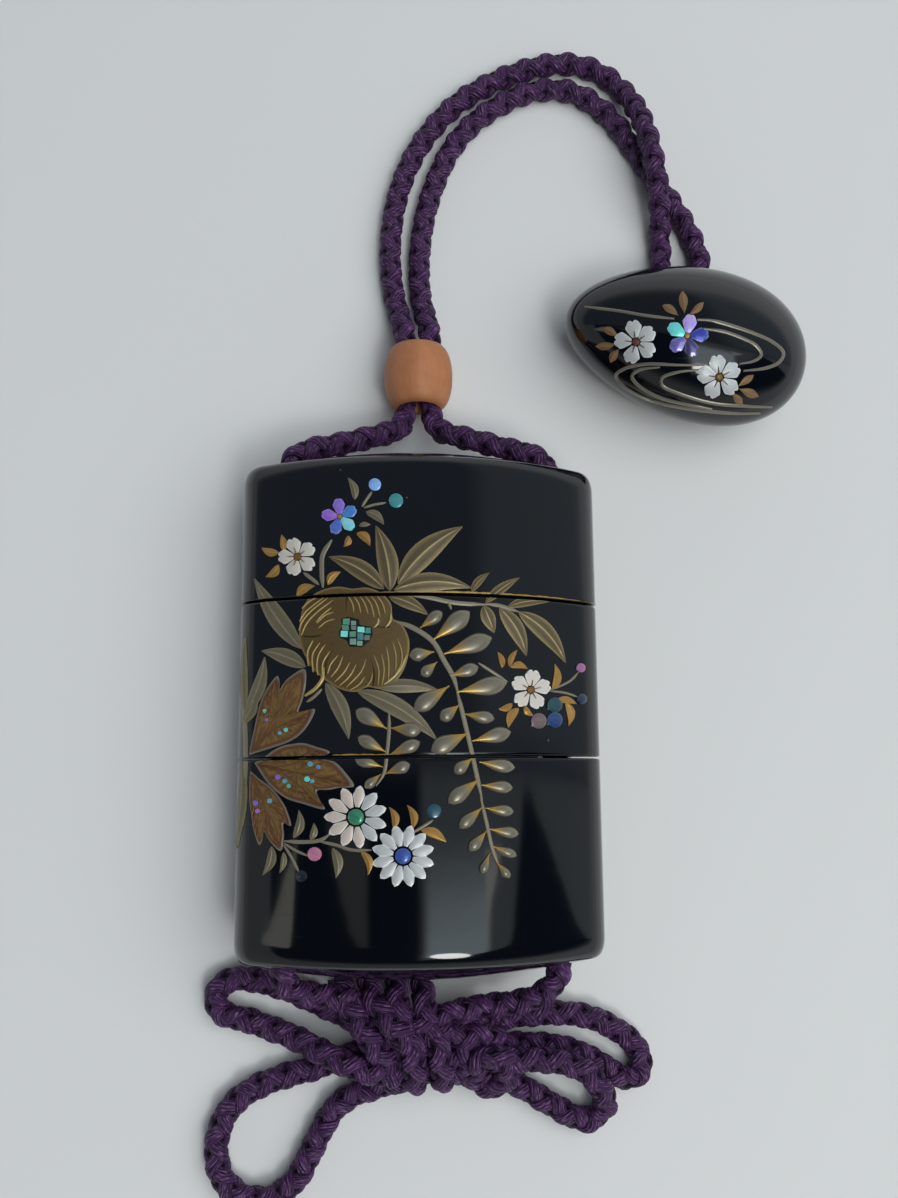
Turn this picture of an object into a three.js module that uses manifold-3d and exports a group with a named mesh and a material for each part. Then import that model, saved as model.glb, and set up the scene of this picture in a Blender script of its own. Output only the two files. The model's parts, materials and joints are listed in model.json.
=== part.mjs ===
// Inro case: a small oval lacquered case in three stacked sections, lying on its back, with its
// braided cord, a wooden cord bead, an egg-shaped toggle and the bow tied under the case.
// Millimetres. +X is to the right, +Y towards the lid, +Z up off the surface that it lies on.
// The origin is on that surface, under the middle of the case.
import * as THREE from 'three';
import { mergeVertices } from 'three/addons/utils/BufferGeometryUtils.js';
import Module from 'manifold-3d';

const wasm = await Module();
wasm.setup();

// Case outside
const caseWidth = 60;
const caseDepth = 26;
const sideRadius = 6;
const rimSpan = 80.9;
const rimRound = 1.8;
const crownHeight = 2.9;
const lidHeight = 23.3;
const baseHeight = 32.1;
const seamGap = 0.3;
const seamBevel = 0.3;

// Walls, risers and floors
const shellWall = 1.8;
const riserWall = 1.2;
const riserFit = 0.3;
const riserHeight = 4.5;
const riserEndGap = 0.5;
const floorThickness = 2;
const endThickness = 3.1;

// Cord and the channels that it runs in
const cordDiameter = 4.2;
const cordClearance = 0.5;
const channelOffset = 22.6;
const channelWall = 1.2;
const mouthFlare = 1.5;
const mouthDepth = 3;
const cordGap = 0.3;

// Cord bead
const beadDiameter = 12.4;
const beadLength = 11.6;
const beadBore = 6.6;
const beadEndShare = 0.62;
const beadBulge = 2.2;
const beadX = 0.2;
const beadY = 60.55;

// Egg-shaped toggle
const toggleLength = 45;
const toggleWidth = 28.4;
const toggleThickness = 20.5;
const toggleTaper = 0.19;
const toggleX = 49.04;
const toggleY = 67.1;
const toggleTurn = THREE.MathUtils.degToRad(-11.8);
const toggleRestFlat = 0.2;

// Facet counts
const faceFacets = 15;
const sideFacets = 8;
const roundFacets = 3;
const crownScales = [0.8, 0.6, 0.4, 0.18];
const boreFacets = 16;
const beadFacets = 20;
const cordFacets = 8;

const lacquer = new THREE.MeshStandardMaterial({ color: 0x0b0b0d, roughness: 0.12, metalness: 0 });
const wood = new THREE.MeshStandardMaterial({ color: 0xb8794c, roughness: 0.5, metalness: 0 });
const silk = new THREE.MeshStandardMaterial({ color: 0x3c2148, roughness: 0.6, metalness: 0 });

const group = new THREE.Group();

// Closed mesh from rings of equal point counts, with a flat fan at each end
function loft(rings) {
  const count = rings[0].length;
  const positions = [];
  const indices = [];
  rings.forEach((ring) => ring.forEach((p) => positions.push(p.x, p.y, p.z)));
  for (let k = 0; k < rings.length - 1; k += 1) {
    for (let i = 0; i < count; i += 1) {
      const j = (i + 1) % count;
      const a = k * count + i;
      const b = k * count + j;
      indices.push(a, b, b + count, a, b + count, a + count);
    }
  }
  for (let i = 1; i < count - 1; i += 1) {
    const last = (rings.length - 1) * count;
    indices.push(0, i + 1, i, last, last + i, last + i + 1);
  }
  const geometry = new THREE.BufferGeometry();
  geometry.setAttribute('position', new THREE.Float32BufferAttribute(positions, 3));
  geometry.setIndex(indices);
  return geometry;
}

function signedVolume(geometry) {
  const p = geometry.getAttribute('position');
  const index = geometry.getIndex();
  const a = new THREE.Vector3();
  const b = new THREE.Vector3();
  const c = new THREE.Vector3();
  let sum = 0;
  for (let i = 0; i < index.count; i += 3) {
    a.fromBufferAttribute(p, index.getX(i));
    b.fromBufferAttribute(p, index.getX(i + 1));
    c.fromBufferAttribute(p, index.getX(i + 2));
    sum += a.dot(b.cross(c)) / 6;
  }
  return sum;
}

function toSolid(source) {
  const bare = source.clone();
  bare.deleteAttribute('normal');
  bare.deleteAttribute('uv');
  const merged = mergeVertices(bare, 1e-4);
  const triVerts = Uint32Array.from(merged.getIndex().array);
  if (signedVolume(merged) < 0) {
    for (let i = 0; i < triVerts.length; i += 3) {
      [triVerts[i], triVerts[i + 1]] = [triVerts[i + 1], triVerts[i]];
    }
  }
  const vertProperties = Float32Array.from(merged.getAttribute('position').array);
  return new wasm.Manifold(new wasm.Mesh({ numProp: 3, vertProperties, triVerts }));
}

function toGeometry(solid) {
  const mesh = solid.getMesh();
  const geometry = new THREE.BufferGeometry();
  geometry.setAttribute('position', new THREE.BufferAttribute(mesh.vertProperties, 3));
  geometry.setIndex(new THREE.BufferAttribute(mesh.triVerts, 1));
  const faceted = geometry.toNonIndexed();
  faceted.computeVertexNormals();
  return faceted;
}

function addNode(name, solid, material) {
  const mesh = new THREE.Mesh(toGeometry(solid), material);
  mesh.name = name;
  group.add(mesh);
}

const v = (x, y, z) => new THREE.Vector3(x, y, z);

// Cross-section of the case: two shallow face arcs joined by two tight side arcs, inset by a wall.
// The middle facet of each face is flat on, so the case rests on a narrow flat at its back.
const faceRadius = ((caseWidth / 2 - sideRadius) ** 2 + (caseDepth / 2) ** 2 - sideRadius ** 2)
  / (caseDepth - 2 * sideRadius);
const sideCentre = caseWidth / 2 - sideRadius;
const faceCentre = faceRadius - caseDepth / 2;
const faceHalfAngle = Math.atan2(sideCentre, faceCentre);

function sectionPoints(inset) {
  const points = [];
  const big = faceRadius - inset;
  const small = sideRadius - inset;
  for (let i = 0; i < faceFacets; i += 1) {
    const angle = faceHalfAngle - (2 * faceHalfAngle * i) / faceFacets;
    points.push([big * Math.sin(angle), big * Math.cos(angle) - faceCentre]);
  }
  const sideSpan = Math.PI - 2 * faceHalfAngle;
  for (let i = 0; i < sideFacets; i += 1) {
    const angle = -faceHalfAngle - (sideSpan * i) / sideFacets;
    points.push([small * Math.sin(angle) - sideCentre, small * Math.cos(angle)]);
  }
  return points.concat(points.map(([x, z]) => [-x, -z]));
}

const facetSag = faceRadius * (1 - Math.cos(faceHalfAngle / faceFacets));
const restHeight = caseDepth / 2 - facetSag;

function sectionRing(y, inset, scale = 1) {
  return sectionPoints(inset).map(([x, z]) => v(x * scale, y, z * scale + restHeight));
}

function sectionPrism(y0, y1, inset) {
  return toSolid(loft([sectionRing(y0, inset), sectionRing(y1, inset)]));
}

function slab(halfWidth, y0, y1) {
  const box = new THREE.BoxGeometry(2 * halfWidth, y1 - y0, 2 * caseDepth);
  box.translate(0, (y0 + y1) / 2, restHeight);
  return toSolid(box);
}

// Rings from a seam to the domed end; side is +1 for the lid and -1 for the base
function endSectionSolid(side, seamY) {
  const rimY = (side * rimSpan) / 2;
  const rings = [
    sectionRing(seamY, seamBevel),
    sectionRing(seamY + side * seamBevel, 0),
  ];
  for (let i = 0; i <= roundFacets; i += 1) {
    const angle = (Math.PI / 2) * (i / roundFacets);
    const inset = rimRound * (1 - Math.cos(angle));
    rings.push(sectionRing(rimY - side * rimRound * (1 - Math.sin(angle)), inset));
  }
  crownScales.forEach((scale) => {
    rings.push(sectionRing(rimY + side * crownHeight * (1 - scale ** 2), rimRound, scale));
  });
  return toSolid(loft(rings));
}

// Heights of seams, floors and ceilings
const lidSeam = rimSpan / 2 - lidHeight;
const baseSeam = baseHeight - rimSpan / 2;
const half = seamGap / 2;
const ceilingY = rimSpan / 2 + crownHeight - endThickness;
const middleFloor = baseSeam + riserHeight + riserEndGap;

// Widths from the cord channel inwards: recess, riser, compartment
const channelRadius = cordDiameter / 2 + cordClearance;
const recessHalf = channelOffset - channelRadius - channelWall;
const riserHalf = recessHalf - riserFit;
const compartmentHalf = riserHalf - riserWall;
const riserInset = shellWall + riserFit;
const compartmentInset = riserInset + riserWall;

const recess = (y0, y1) => sectionPrism(y0, y1, shellWall).intersect(slab(recessHalf, y0, y1));
const riser = (y0, y1) => sectionPrism(y0, y1, riserInset).intersect(slab(riserHalf, y0, y1));
const compartment = (y0, y1) => sectionPrism(y0, y1, compartmentInset)
  .intersect(slab(compartmentHalf, y0, y1));

function channels() {
  const length = rimSpan + 4 * crownHeight;
  return [-1, 1].map((side) => {
    const bore = new THREE.CylinderGeometry(channelRadius, channelRadius, length, boreFacets);
    bore.translate(side * channelOffset, 0, restHeight);
    return toSolid(bore);
  });
}

function mouths(end) {
  const outside = rimSpan / 2 + crownHeight;
  const depth = mouthDepth + crownHeight;
  return [-1, 1].map((side) => {
    const wide = channelRadius + (mouthFlare * depth) / mouthDepth;
    const top = end > 0 ? wide : channelRadius;
    const bottom = end > 0 ? channelRadius : wide;
    const cone = new THREE.CylinderGeometry(top, bottom, depth, boreFacets);
    cone.translate(side * channelOffset, end * (outside - depth / 2), restHeight);
    return toSolid(cone);
  });
}

const cutAll = (solid, cuts) => cuts.reduce((result, cut) => result.subtract(cut), solid);

function lid() {
  const outside = endSectionSolid(1, lidSeam + half);
  const inside = recess(lidSeam - 1, ceilingY);
  return cutAll(outside, [inside, ...channels(), ...mouths(1)]);
}

function middleCase() {
  const low = baseSeam + half;
  const high = lidSeam - half;
  const outside = toSolid(loft([
    sectionRing(low, seamBevel),
    sectionRing(low + seamBevel, 0),
    sectionRing(high - seamBevel, 0),
    sectionRing(high, seamBevel),
  ]));
  const withRiser = outside.add(riser(high - 1, lidSeam + riserHeight));
  const inside = compartment(middleFloor + floorThickness, lidSeam + riserHeight + 1);
  return cutAll(withRiser, [inside, recess(low - 1, middleFloor), ...channels()]);
}

function bottomCase() {
  const high = baseSeam - half;
  const withRiser = endSectionSolid(-1, high).add(riser(high - 1, baseSeam + riserHeight));
  const inside = compartment(-ceilingY, baseSeam + riserHeight + 1);
  return cutAll(withRiser, [inside, ...channels(), ...mouths(-1)]);
}

// Barrel bead turned about its bore, which lies along Y; a facet faces down
const beadCentreZ = (beadDiameter / 2) * Math.cos(Math.PI / beadFacets);

function bead() {
  const profile = [];
  const steps = 8;
  const endRadius = (beadDiameter / 2) * beadEndShare;
  profile.push(new THREE.Vector2(beadBore / 2, -beadLength / 2));
  for (let i = 0; i <= steps; i += 1) {
    const t = -1 + (2 * i) / steps;
    const bulge = Math.sqrt(1 - Math.abs(t) ** beadBulge);
    const radius = endRadius + (beadDiameter / 2 - endRadius) * bulge;
    profile.push(new THREE.Vector2(radius, (t * beadLength) / 2));
  }
  profile.push(new THREE.Vector2(beadBore / 2, beadLength / 2));
  profile.push(profile[0].clone());
  const geometry = new THREE.LatheGeometry(profile, beadFacets);
  geometry.rotateY(Math.PI / beadFacets);
  geometry.translate(beadX, beadY, beadCentreZ);
  return toSolid(geometry);
}

// Egg-shaped toggle: rings along its length, wider towards its right end, with a small rest flat
const toggleCentreZ = toggleThickness / 2 - toggleRestFlat;

function toggleRing(share) {
  const swell = Math.sqrt(1 - share ** 2);
  const halfWidth = (toggleWidth / 2) * swell * (1 + toggleTaper * share);
  const halfThickness = (toggleThickness / 2) * swell;
  const facets = 24;
  const ring = [];
  for (let i = 0; i < facets; i += 1) {
    const angle = (2 * Math.PI * (i + 0.5)) / facets;
    const y = halfWidth * Math.cos(angle);
    ring.push(v((share * toggleLength) / 2, y, halfThickness * Math.sin(angle)));
  }
  return ring;
}

function boreBetween(a, b, radius) {
  const length = a.distanceTo(b);
  const geometry = new THREE.CylinderGeometry(radius, radius, length, boreFacets);
  const turn = new THREE.Quaternion().setFromUnitVectors(v(0, 1, 0), b.clone().sub(a).normalize());
  geometry.applyQuaternion(turn);
  const middle = a.clone().add(b).multiplyScalar(0.5);
  geometry.translate(middle.x, middle.y, middle.z);
  return toSolid(geometry);
}

// Cord holes in the toggle's underside: each rises from its mouth, and a cross bore joins them
const toggleHoles = [
  { mouth: v(47.4, 79.6, 2.9), inner: v(47.6, 71.3, 9.0) },
  { mouth: v(54.9, 79.6, 2.9), inner: v(53.5, 71.3, 9.0) },
];

function toggle() {
  const ringCount = 16;
  const rings = [];
  for (let i = 1; i < ringCount; i += 1) {
    rings.push(toggleRing(-Math.cos((Math.PI * i) / ringCount)));
  }
  const geometry = loft(rings);
  geometry.rotateZ(toggleTurn);
  geometry.translate(toggleX, toggleY, toggleCentreZ);
  const floor = new THREE.BoxGeometry(2 * toggleLength, 2 * toggleLength, toggleThickness);
  floor.translate(toggleX, toggleY, -toggleThickness / 2);
  const bores = toggleHoles.map(({ mouth, inner }) => {
    const outward = mouth.clone().sub(inner).normalize().multiplyScalar(cordDiameter);
    return boreBetween(mouth.clone().add(outward), inner, channelRadius);
  });
  bores.push(boreBetween(toggleHoles[0].inner, toggleHoles[1].inner, channelRadius));
  return cutAll(toSolid(geometry), [toSolid(floor), ...bores]);
}

// Cord routes, chosen by hand
const cordRoutes = {
  cord_arc_outer: { steps: 15, points: [
    [-2.05, 67.2, 6.1], [-2.6, 71, 5], [-3.3, 74.5, 3.1], [-4.1, 78.5, 2.15], [-4.7, 84, 2.15],
    [-4.6, 90, 2.15], [-3.6, 97, 2.15], [-1.2, 104.5, 2.15], [2.6, 111.4, 2.15], [8.2, 117.9, 2.15],
    [14.5, 122.4, 2.15], [21.2, 125.6, 2.15], [27, 127.3, 2.15], [31.8, 127.4, 2.15],
    [36.4, 126, 2.15], [40.2, 122.8, 2.4], [42.6, 118, 4.2], [43.9, 112, 6.6], [45.1, 106, 7.1],
    [46.1, 100.5, 6.3], [46.9, 95.5, 4.2], [47.2, 90.5, 2.4], [47.3, 86, 2.15],
    [47.35, 82.6, 2.2], [47.4, 79.6, 2.9], [47.5, 76, 5.5], [47.6, 72.4, 8.2],
  ] },
  cord_arc_inner: { steps: 13, points: [
    [2.45, 67.2, 6.1], [2.1, 71, 5], [1.5, 74.5, 3.1], [0.9, 78.5, 2.15], [0.7, 84, 2.15],
    [1.1, 89.4, 2.15], [2.1, 95.2, 2.15], [4.3, 102.4, 2.15], [7.2, 108.6, 2.15], [11.4, 114, 2.15],
    [16.6, 118.1, 2.15], [22, 120.9, 2.15], [27, 121.9, 2.15], [31.1, 121.4, 2.15],
    [35.2, 119.2, 2.15], [39, 115.6, 2.15], [42.3, 110.8, 2.15], [45.1, 106.3, 2.15],
    [47.6, 102.2, 2.15], [50, 98.6, 2.15], [52.1, 94.9, 2.15], [53.9, 90.9, 2.15],
    [54.9, 87, 2.15], [55.1, 82.8, 2.2], [54.9, 79.6, 2.9], [54.3, 76, 5.5], [53.7, 72.4, 8.2],
  ] },
  cord_left_top: { steps: 5, points: [
    [-2.1, 54, 6.1], [-2.6, 51.8, 6.5], [-3.7, 50.2, 7.3], [-6.1, 49, 8.5], [-10.3, 47.4, 10], [-15.6, 45.6, 11.6],
    [-19.2, 44.5, 12.6], [-21.7, 42.7, 12.95], [-22.6, 40, 12.95], [-22.6, 36, 12.95],
  ] },
  cord_right_top: { steps: 5, points: [
    [2.5, 54, 6.1], [3, 51.8, 6.5], [4.1, 50.2, 7.3], [6.5, 49, 8.5], [10.6, 47.5, 10], [15.8, 45.6, 11.6],
    [19.2, 44.5, 12.6], [21.7, 42.7, 12.95], [22.6, 40, 12.95], [22.6, 36, 12.95],
  ] },
  cord_left_channel: { steps: 2, points: [[-22.6, 35.7, 12.95], [-22.6, -37.7, 12.95]] },
  cord_right_channel: { steps: 2, points: [[22.6, 35.7, 12.95], [22.6, -37.7, 12.95]] },
  cord_left_base: { steps: 5, points: [
    [-22.6, -38, 12.95], [-22.6, -41.3, 12.95], [-21.8, -43.8, 12], [-19.2, -45.6, 10.2],
    [-15.7, -46.4, 8.9], [-12, -47.1, 8.1], [-8.5, -48.2, 7.5],
  ] },
  cord_right_base: { steps: 5, points: [
    [22.6, -38, 12.95], [22.6, -41.3, 12.95], [22.1, -44, 12.2], [20.4, -46.2, 10.9],
    [17.6, -47.7, 9.3], [14.5, -48.4, 8], [11, -48.8, 7.3], [7, -49.2, 7],
  ] },
  cord_bow_left: { steps: 11, points: [
    [-7, -52.6, 3], [-11, -51.2, 2.4], [-14.8, -49.5, 2.15], [-18, -48, 2.15], [-21.7, -46.3, 2.15],
    [-25.2, -45.2, 2.15], [-28.2, -44.5, 2.15], [-30.8, -44.4, 2.15], [-32.9, -45.4, 2.15],
    [-33.8, -47.5, 2.15], [-32.9, -49.5, 2.15], [-30.8, -50.5, 2.15], [-28.2, -51.1, 2.15], [-25, -52.3, 2.2],
    [-21.4, -53.5, 3], [-17.9, -54.8, 5.1], [-14.6, -56.2, 6.8], [-11.5, -57.6, 7.2],
    [-8, -58.8, 7], [-4.5, -59.5, 6.3], [-1, -60, 5],
  ] },
  cord_bow_lower: { steps: 13, points: [
    [-5, -54.8, 2.15], [-9.5, -56.3, 2.15], [-14, -57.9, 2.15], [-18, -59.1, 2.15],
    [-22.6, -60.2, 2.15], [-27.4, -62, 2.15], [-30.6, -64.4, 2.15], [-32.3, -67.2, 2.15],
    [-33, -70, 2.15], [-32.9, -72.9, 2.15], [-31.9, -75.7, 2.15], [-29.8, -77.9, 2.15],
    [-27.1, -79, 2.15], [-23.9, -78.9, 2.15], [-21.2, -77.4, 2.15], [-19.2, -75, 2.15],
    [-17.8, -72.3, 2.15], [-16.4, -69.6, 2.15], [-14.9, -66.9, 2.15], [-12.9, -64.6, 2.15],
    [-10.2, -63.1, 2.15], [-6.5, -62.1, 2.15], [-2.5, -61, 2.2],
  ] },
  cord_bow_right: { steps: 13, points: [
    [6, -52, 3], [10.5, -51.8, 2.5], [15.3, -51.5, 2.15], [20.2, -51.2, 2.15], [25.4, -51.2, 2.15],
    [30, -52.1, 2.15], [33.9, -54, 2.15], [36.6, -56, 2.15], [37.9, -58.1, 2.15],
    [38.2, -59.8, 2.15], [37.4, -61.3, 2.15], [35.7, -62, 2.15], [33.9, -61.4, 2.15],
    [31, -59.5, 2.15], [27.7, -57.8, 2.15],
    [23.8, -56.6, 2.15], [19.5, -56.1, 2.15], [15, -56, 2.15], [11, -56, 2.4],
  ] },
  cord_bow_small: { steps: 9, points: [
    [12, -57.2, 7], [16.4, -57.5, 6.9], [20.2, -57.7, 6.8], [24, -58.2, 6.9], [27.2, -59.4, 6.7],
    [30, -62.2, 5.9], [31.4, -64.8, 4.1], [31, -67.1, 2.6], [29, -68.4, 2.15],
    [26.6, -68, 2.15], [23.5, -66.4, 2.15], [20.8, -64.8, 2.15], [18, -63.1, 2.15],
    [15, -61.6, 2.6], [12, -60.5, 3],
  ] },
};

// Bow knot: wraps of cord fused into one lump, resting on the surface
const knotLumps = [
  { centre: [3, -54.6, 5.1], radii: [12, 8.2, 5] },
  { centre: [-5, -53.2, 5.1], radii: [8, 7.2, 5] },
  { centre: [2.6, -60, 4.7], radii: [4.6, 5, 4.6] },
  { centre: [12.4, -59.6, 4.7], radii: [4.4, 5, 4.6] },
];

function lump({ centre, radii }, grow) {
  const geometry = new THREE.SphereGeometry(1, 20, 12);
  geometry.scale(...radii.map((radius) => radius + grow));
  geometry.translate(...centre);
  return toSolid(geometry);
}

function knot(grow = 0) {
  return knotLumps.map((one) => lump(one, grow)).reduce((sum, one) => sum.add(one));
}

// Round section swept along a smooth route; the bow's loops are trimmed where they enter the knot
function cordTube({ points, steps }) {
  const section = new THREE.Shape();
  for (let i = 0; i < cordFacets; i += 1) {
    const angle = (2 * Math.PI * (i + 0.5)) / cordFacets;
    const x = (cordDiameter / 2) * Math.cos(angle);
    const y = (cordDiameter / 2) * Math.sin(angle);
    if (i === 0) section.moveTo(x, y);
    else section.lineTo(x, y);
  }
  const extrudePath = new THREE.CatmullRomCurve3(points.map((p) => v(...p)), false, 'centripetal');
  return toSolid(new THREE.ExtrudeGeometry(section, { steps, extrudePath, bevelEnabled: false }));
}

// The two strands squeezed together inside the bead
function squeezedCord() {
  const radius = beadBore / 2 - cordGap;
  const geometry = new THREE.CylinderGeometry(radius, radius, beadLength - cordGap, boreFacets);
  geometry.translate(beadX, beadY, beadCentreZ);
  return toSolid(geometry);
}

addNode('lid', lid(), lacquer);
addNode('middle_case', middleCase(), lacquer);
addNode('bottom_case', bottomCase(), lacquer);
addNode('ojime_bead', bead(), wood);
addNode('netsuke', toggle(), lacquer);
addNode('bow_knot', knot(), silk);
addNode('cord_in_bead', squeezedCord(), silk);

const knotRoom = knot(cordGap);
Object.entries(cordRoutes).forEach(([name, route]) => {
  const tube = cordTube(route);
  const meetsKnot = name.includes('bow') || name.includes('base');
  addNode(name, meetsKnot ? tube.subtract(knotRoom) : tube, silk);
});

export default group;
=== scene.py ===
"""An inro case that lies with its braided cord, wooden cord bead, egg-shaped toggle and bow.

Metres. +X is to the right, +Y towards the lid, +Z up off the surface that everything lies on.
"""
import json
import math
import random
from collections import namedtuple

import bmesh
import bpy
from mathutils import Matrix, Vector
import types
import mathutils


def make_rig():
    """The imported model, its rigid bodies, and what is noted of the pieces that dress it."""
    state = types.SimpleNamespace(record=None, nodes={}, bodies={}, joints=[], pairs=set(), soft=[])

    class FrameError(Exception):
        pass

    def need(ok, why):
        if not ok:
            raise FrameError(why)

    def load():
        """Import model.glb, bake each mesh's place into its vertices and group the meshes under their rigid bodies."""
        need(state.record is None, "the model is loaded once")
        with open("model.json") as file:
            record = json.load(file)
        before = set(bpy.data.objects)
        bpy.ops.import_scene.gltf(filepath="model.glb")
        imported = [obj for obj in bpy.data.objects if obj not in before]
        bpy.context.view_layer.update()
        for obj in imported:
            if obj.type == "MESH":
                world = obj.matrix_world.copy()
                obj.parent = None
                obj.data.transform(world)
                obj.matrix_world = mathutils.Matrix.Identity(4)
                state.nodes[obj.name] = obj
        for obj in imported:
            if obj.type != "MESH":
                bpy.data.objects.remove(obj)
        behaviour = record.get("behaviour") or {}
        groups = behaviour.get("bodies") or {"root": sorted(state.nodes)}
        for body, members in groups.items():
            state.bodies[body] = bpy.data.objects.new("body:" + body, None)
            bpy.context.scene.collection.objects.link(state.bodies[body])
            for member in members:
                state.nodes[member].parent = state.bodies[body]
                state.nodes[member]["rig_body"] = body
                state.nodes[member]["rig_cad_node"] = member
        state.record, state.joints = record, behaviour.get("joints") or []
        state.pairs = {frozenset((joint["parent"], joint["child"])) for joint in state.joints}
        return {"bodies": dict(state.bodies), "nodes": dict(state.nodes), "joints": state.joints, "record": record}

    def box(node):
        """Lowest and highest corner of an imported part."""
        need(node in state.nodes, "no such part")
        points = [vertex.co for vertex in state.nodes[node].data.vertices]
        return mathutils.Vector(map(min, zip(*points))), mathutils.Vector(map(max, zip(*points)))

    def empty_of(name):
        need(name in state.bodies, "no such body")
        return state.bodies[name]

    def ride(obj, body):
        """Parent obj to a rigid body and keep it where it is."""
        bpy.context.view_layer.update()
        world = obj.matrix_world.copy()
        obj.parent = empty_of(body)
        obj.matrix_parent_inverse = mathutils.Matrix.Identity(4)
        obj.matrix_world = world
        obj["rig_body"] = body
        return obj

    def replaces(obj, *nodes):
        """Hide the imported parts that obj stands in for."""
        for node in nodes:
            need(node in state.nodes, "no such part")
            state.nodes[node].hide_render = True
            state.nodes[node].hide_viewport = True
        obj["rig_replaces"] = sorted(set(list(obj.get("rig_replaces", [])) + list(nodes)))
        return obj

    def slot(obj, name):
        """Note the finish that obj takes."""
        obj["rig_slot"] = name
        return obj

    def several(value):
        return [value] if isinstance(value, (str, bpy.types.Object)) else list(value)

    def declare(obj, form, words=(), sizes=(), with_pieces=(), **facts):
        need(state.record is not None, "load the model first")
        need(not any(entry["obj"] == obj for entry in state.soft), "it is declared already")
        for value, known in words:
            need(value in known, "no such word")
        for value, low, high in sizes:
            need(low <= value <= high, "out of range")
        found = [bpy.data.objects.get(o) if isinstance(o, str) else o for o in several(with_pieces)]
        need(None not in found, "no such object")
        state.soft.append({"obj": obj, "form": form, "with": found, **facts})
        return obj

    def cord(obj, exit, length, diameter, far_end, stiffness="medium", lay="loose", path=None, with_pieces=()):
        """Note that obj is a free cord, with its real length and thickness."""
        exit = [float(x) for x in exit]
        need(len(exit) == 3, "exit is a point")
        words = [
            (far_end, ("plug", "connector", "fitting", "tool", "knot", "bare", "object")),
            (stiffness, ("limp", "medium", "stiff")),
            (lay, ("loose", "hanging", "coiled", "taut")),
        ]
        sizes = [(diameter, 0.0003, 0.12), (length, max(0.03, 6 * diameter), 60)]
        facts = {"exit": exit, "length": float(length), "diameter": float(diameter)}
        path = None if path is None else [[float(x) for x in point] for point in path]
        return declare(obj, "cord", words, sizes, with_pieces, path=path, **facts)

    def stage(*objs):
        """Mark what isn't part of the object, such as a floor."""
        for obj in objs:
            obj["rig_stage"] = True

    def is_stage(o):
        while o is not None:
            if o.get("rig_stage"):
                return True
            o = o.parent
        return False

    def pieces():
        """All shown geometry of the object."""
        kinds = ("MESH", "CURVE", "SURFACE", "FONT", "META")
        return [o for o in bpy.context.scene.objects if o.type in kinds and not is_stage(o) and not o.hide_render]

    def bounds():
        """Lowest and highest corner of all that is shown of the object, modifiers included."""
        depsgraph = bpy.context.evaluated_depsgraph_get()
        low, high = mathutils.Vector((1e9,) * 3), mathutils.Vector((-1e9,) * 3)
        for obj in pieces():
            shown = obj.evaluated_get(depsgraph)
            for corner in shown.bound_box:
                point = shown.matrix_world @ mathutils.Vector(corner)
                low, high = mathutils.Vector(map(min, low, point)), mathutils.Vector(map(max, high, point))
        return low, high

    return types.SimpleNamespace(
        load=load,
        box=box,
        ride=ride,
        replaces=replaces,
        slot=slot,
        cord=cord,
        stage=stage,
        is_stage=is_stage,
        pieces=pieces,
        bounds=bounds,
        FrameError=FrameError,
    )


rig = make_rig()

bl_info = {
    "name": "Inro case",
    "version": (1, 0, 0),
    "blender": (4, 5, 0),
    "location": "3D View > Sidebar > Inro",
    "description": "Builds a lacquered inro case with its cord, bead, toggle and inlaid picture",
    "category": "Add Mesh",
}

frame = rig.load()
CAD_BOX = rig.bounds()
SIZE_FILE = "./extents.json"
MM = 0.001
WHITE = (1, 1, 1)


# Sizes and colours that a user would change

def length(name, millimetres, description):
    return bpy.props.FloatProperty(
        name=name, description=description, default=millimetres * MM,
        subtype="DISTANCE", unit="LENGTH", precision=5,
    )


def share(name, value, description):
    return bpy.props.FloatProperty(name=name, description=description, default=value)


def turn(name, degrees, description):
    return bpy.props.FloatProperty(
        name=name, description=description, default=math.radians(degrees),
        subtype="ANGLE", unit="ROTATION",
    )


def colour(name, value, description):
    return bpy.props.FloatVectorProperty(
        name=name, description=description, default=value, size=3, subtype="COLOR", min=0, max=1,
    )


class CaseSizes(bpy.types.PropertyGroup):
    """Sizes of the three stacked sections."""

    width: length("Width", 60, "Width of the case")
    depth: length("Depth", 26, "Thickness of the case from back to front")
    side_radius: length("Side radius", 6, "Radius of the rounded sides")
    rim_span: length("Rim span", 80.9, "Distance between the two outer rims")
    rim_inset: length("Rim inset", 1.8, "How far the rim's rounding runs inwards")
    rim_length: length("Rim length", 3.6, "How far the rim's rounding runs along the case")
    crown_height: length("Crown height", 2.9, "Rise of the domed ends")
    lid_height: length("Lid height", 23.3, "Height of the lid's straight side")
    base_height: length("Base height", 32.1, "Height of the bottom section's straight side")
    seam_gap: length("Seam gap", 0.3, "Gap between stacked sections")
    seam_bevel: length("Seam bevel", 0.3, "Bevel along each seam")
    shell_wall: length("Shell wall", 1.8, "Wall thickness")
    riser_wall: length("Riser wall", 1.2, "Wall thickness of the inner risers")
    riser_fit: length("Riser fit", 0.3, "Clearance round the risers")
    riser_height: length("Riser height", 4.5, "Height of the risers above the seams")
    riser_end_gap: length("Riser end gap", 0.5, "Clearance above a riser")
    floor_thickness: length("Floor thickness", 2, "Thickness of the middle section's floor")
    end_thickness: length("End thickness", 3.1, "Thickness of the domed ends at their middle")
    channel_offset: length("Channel offset", 22.6, "Distance of the cord channels from the middle")
    channel_radius: length("Channel radius", 2.6, "Radius of the cord channels")
    channel_wall: length("Channel wall", 1.2, "Wall between a channel and the inside")
    mouth_flare: length("Mouth flare", 1.5, "How much wider a channel's mouth is")
    mouth_depth: length("Mouth depth", 3, "Depth of a channel's flared mouth")


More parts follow.
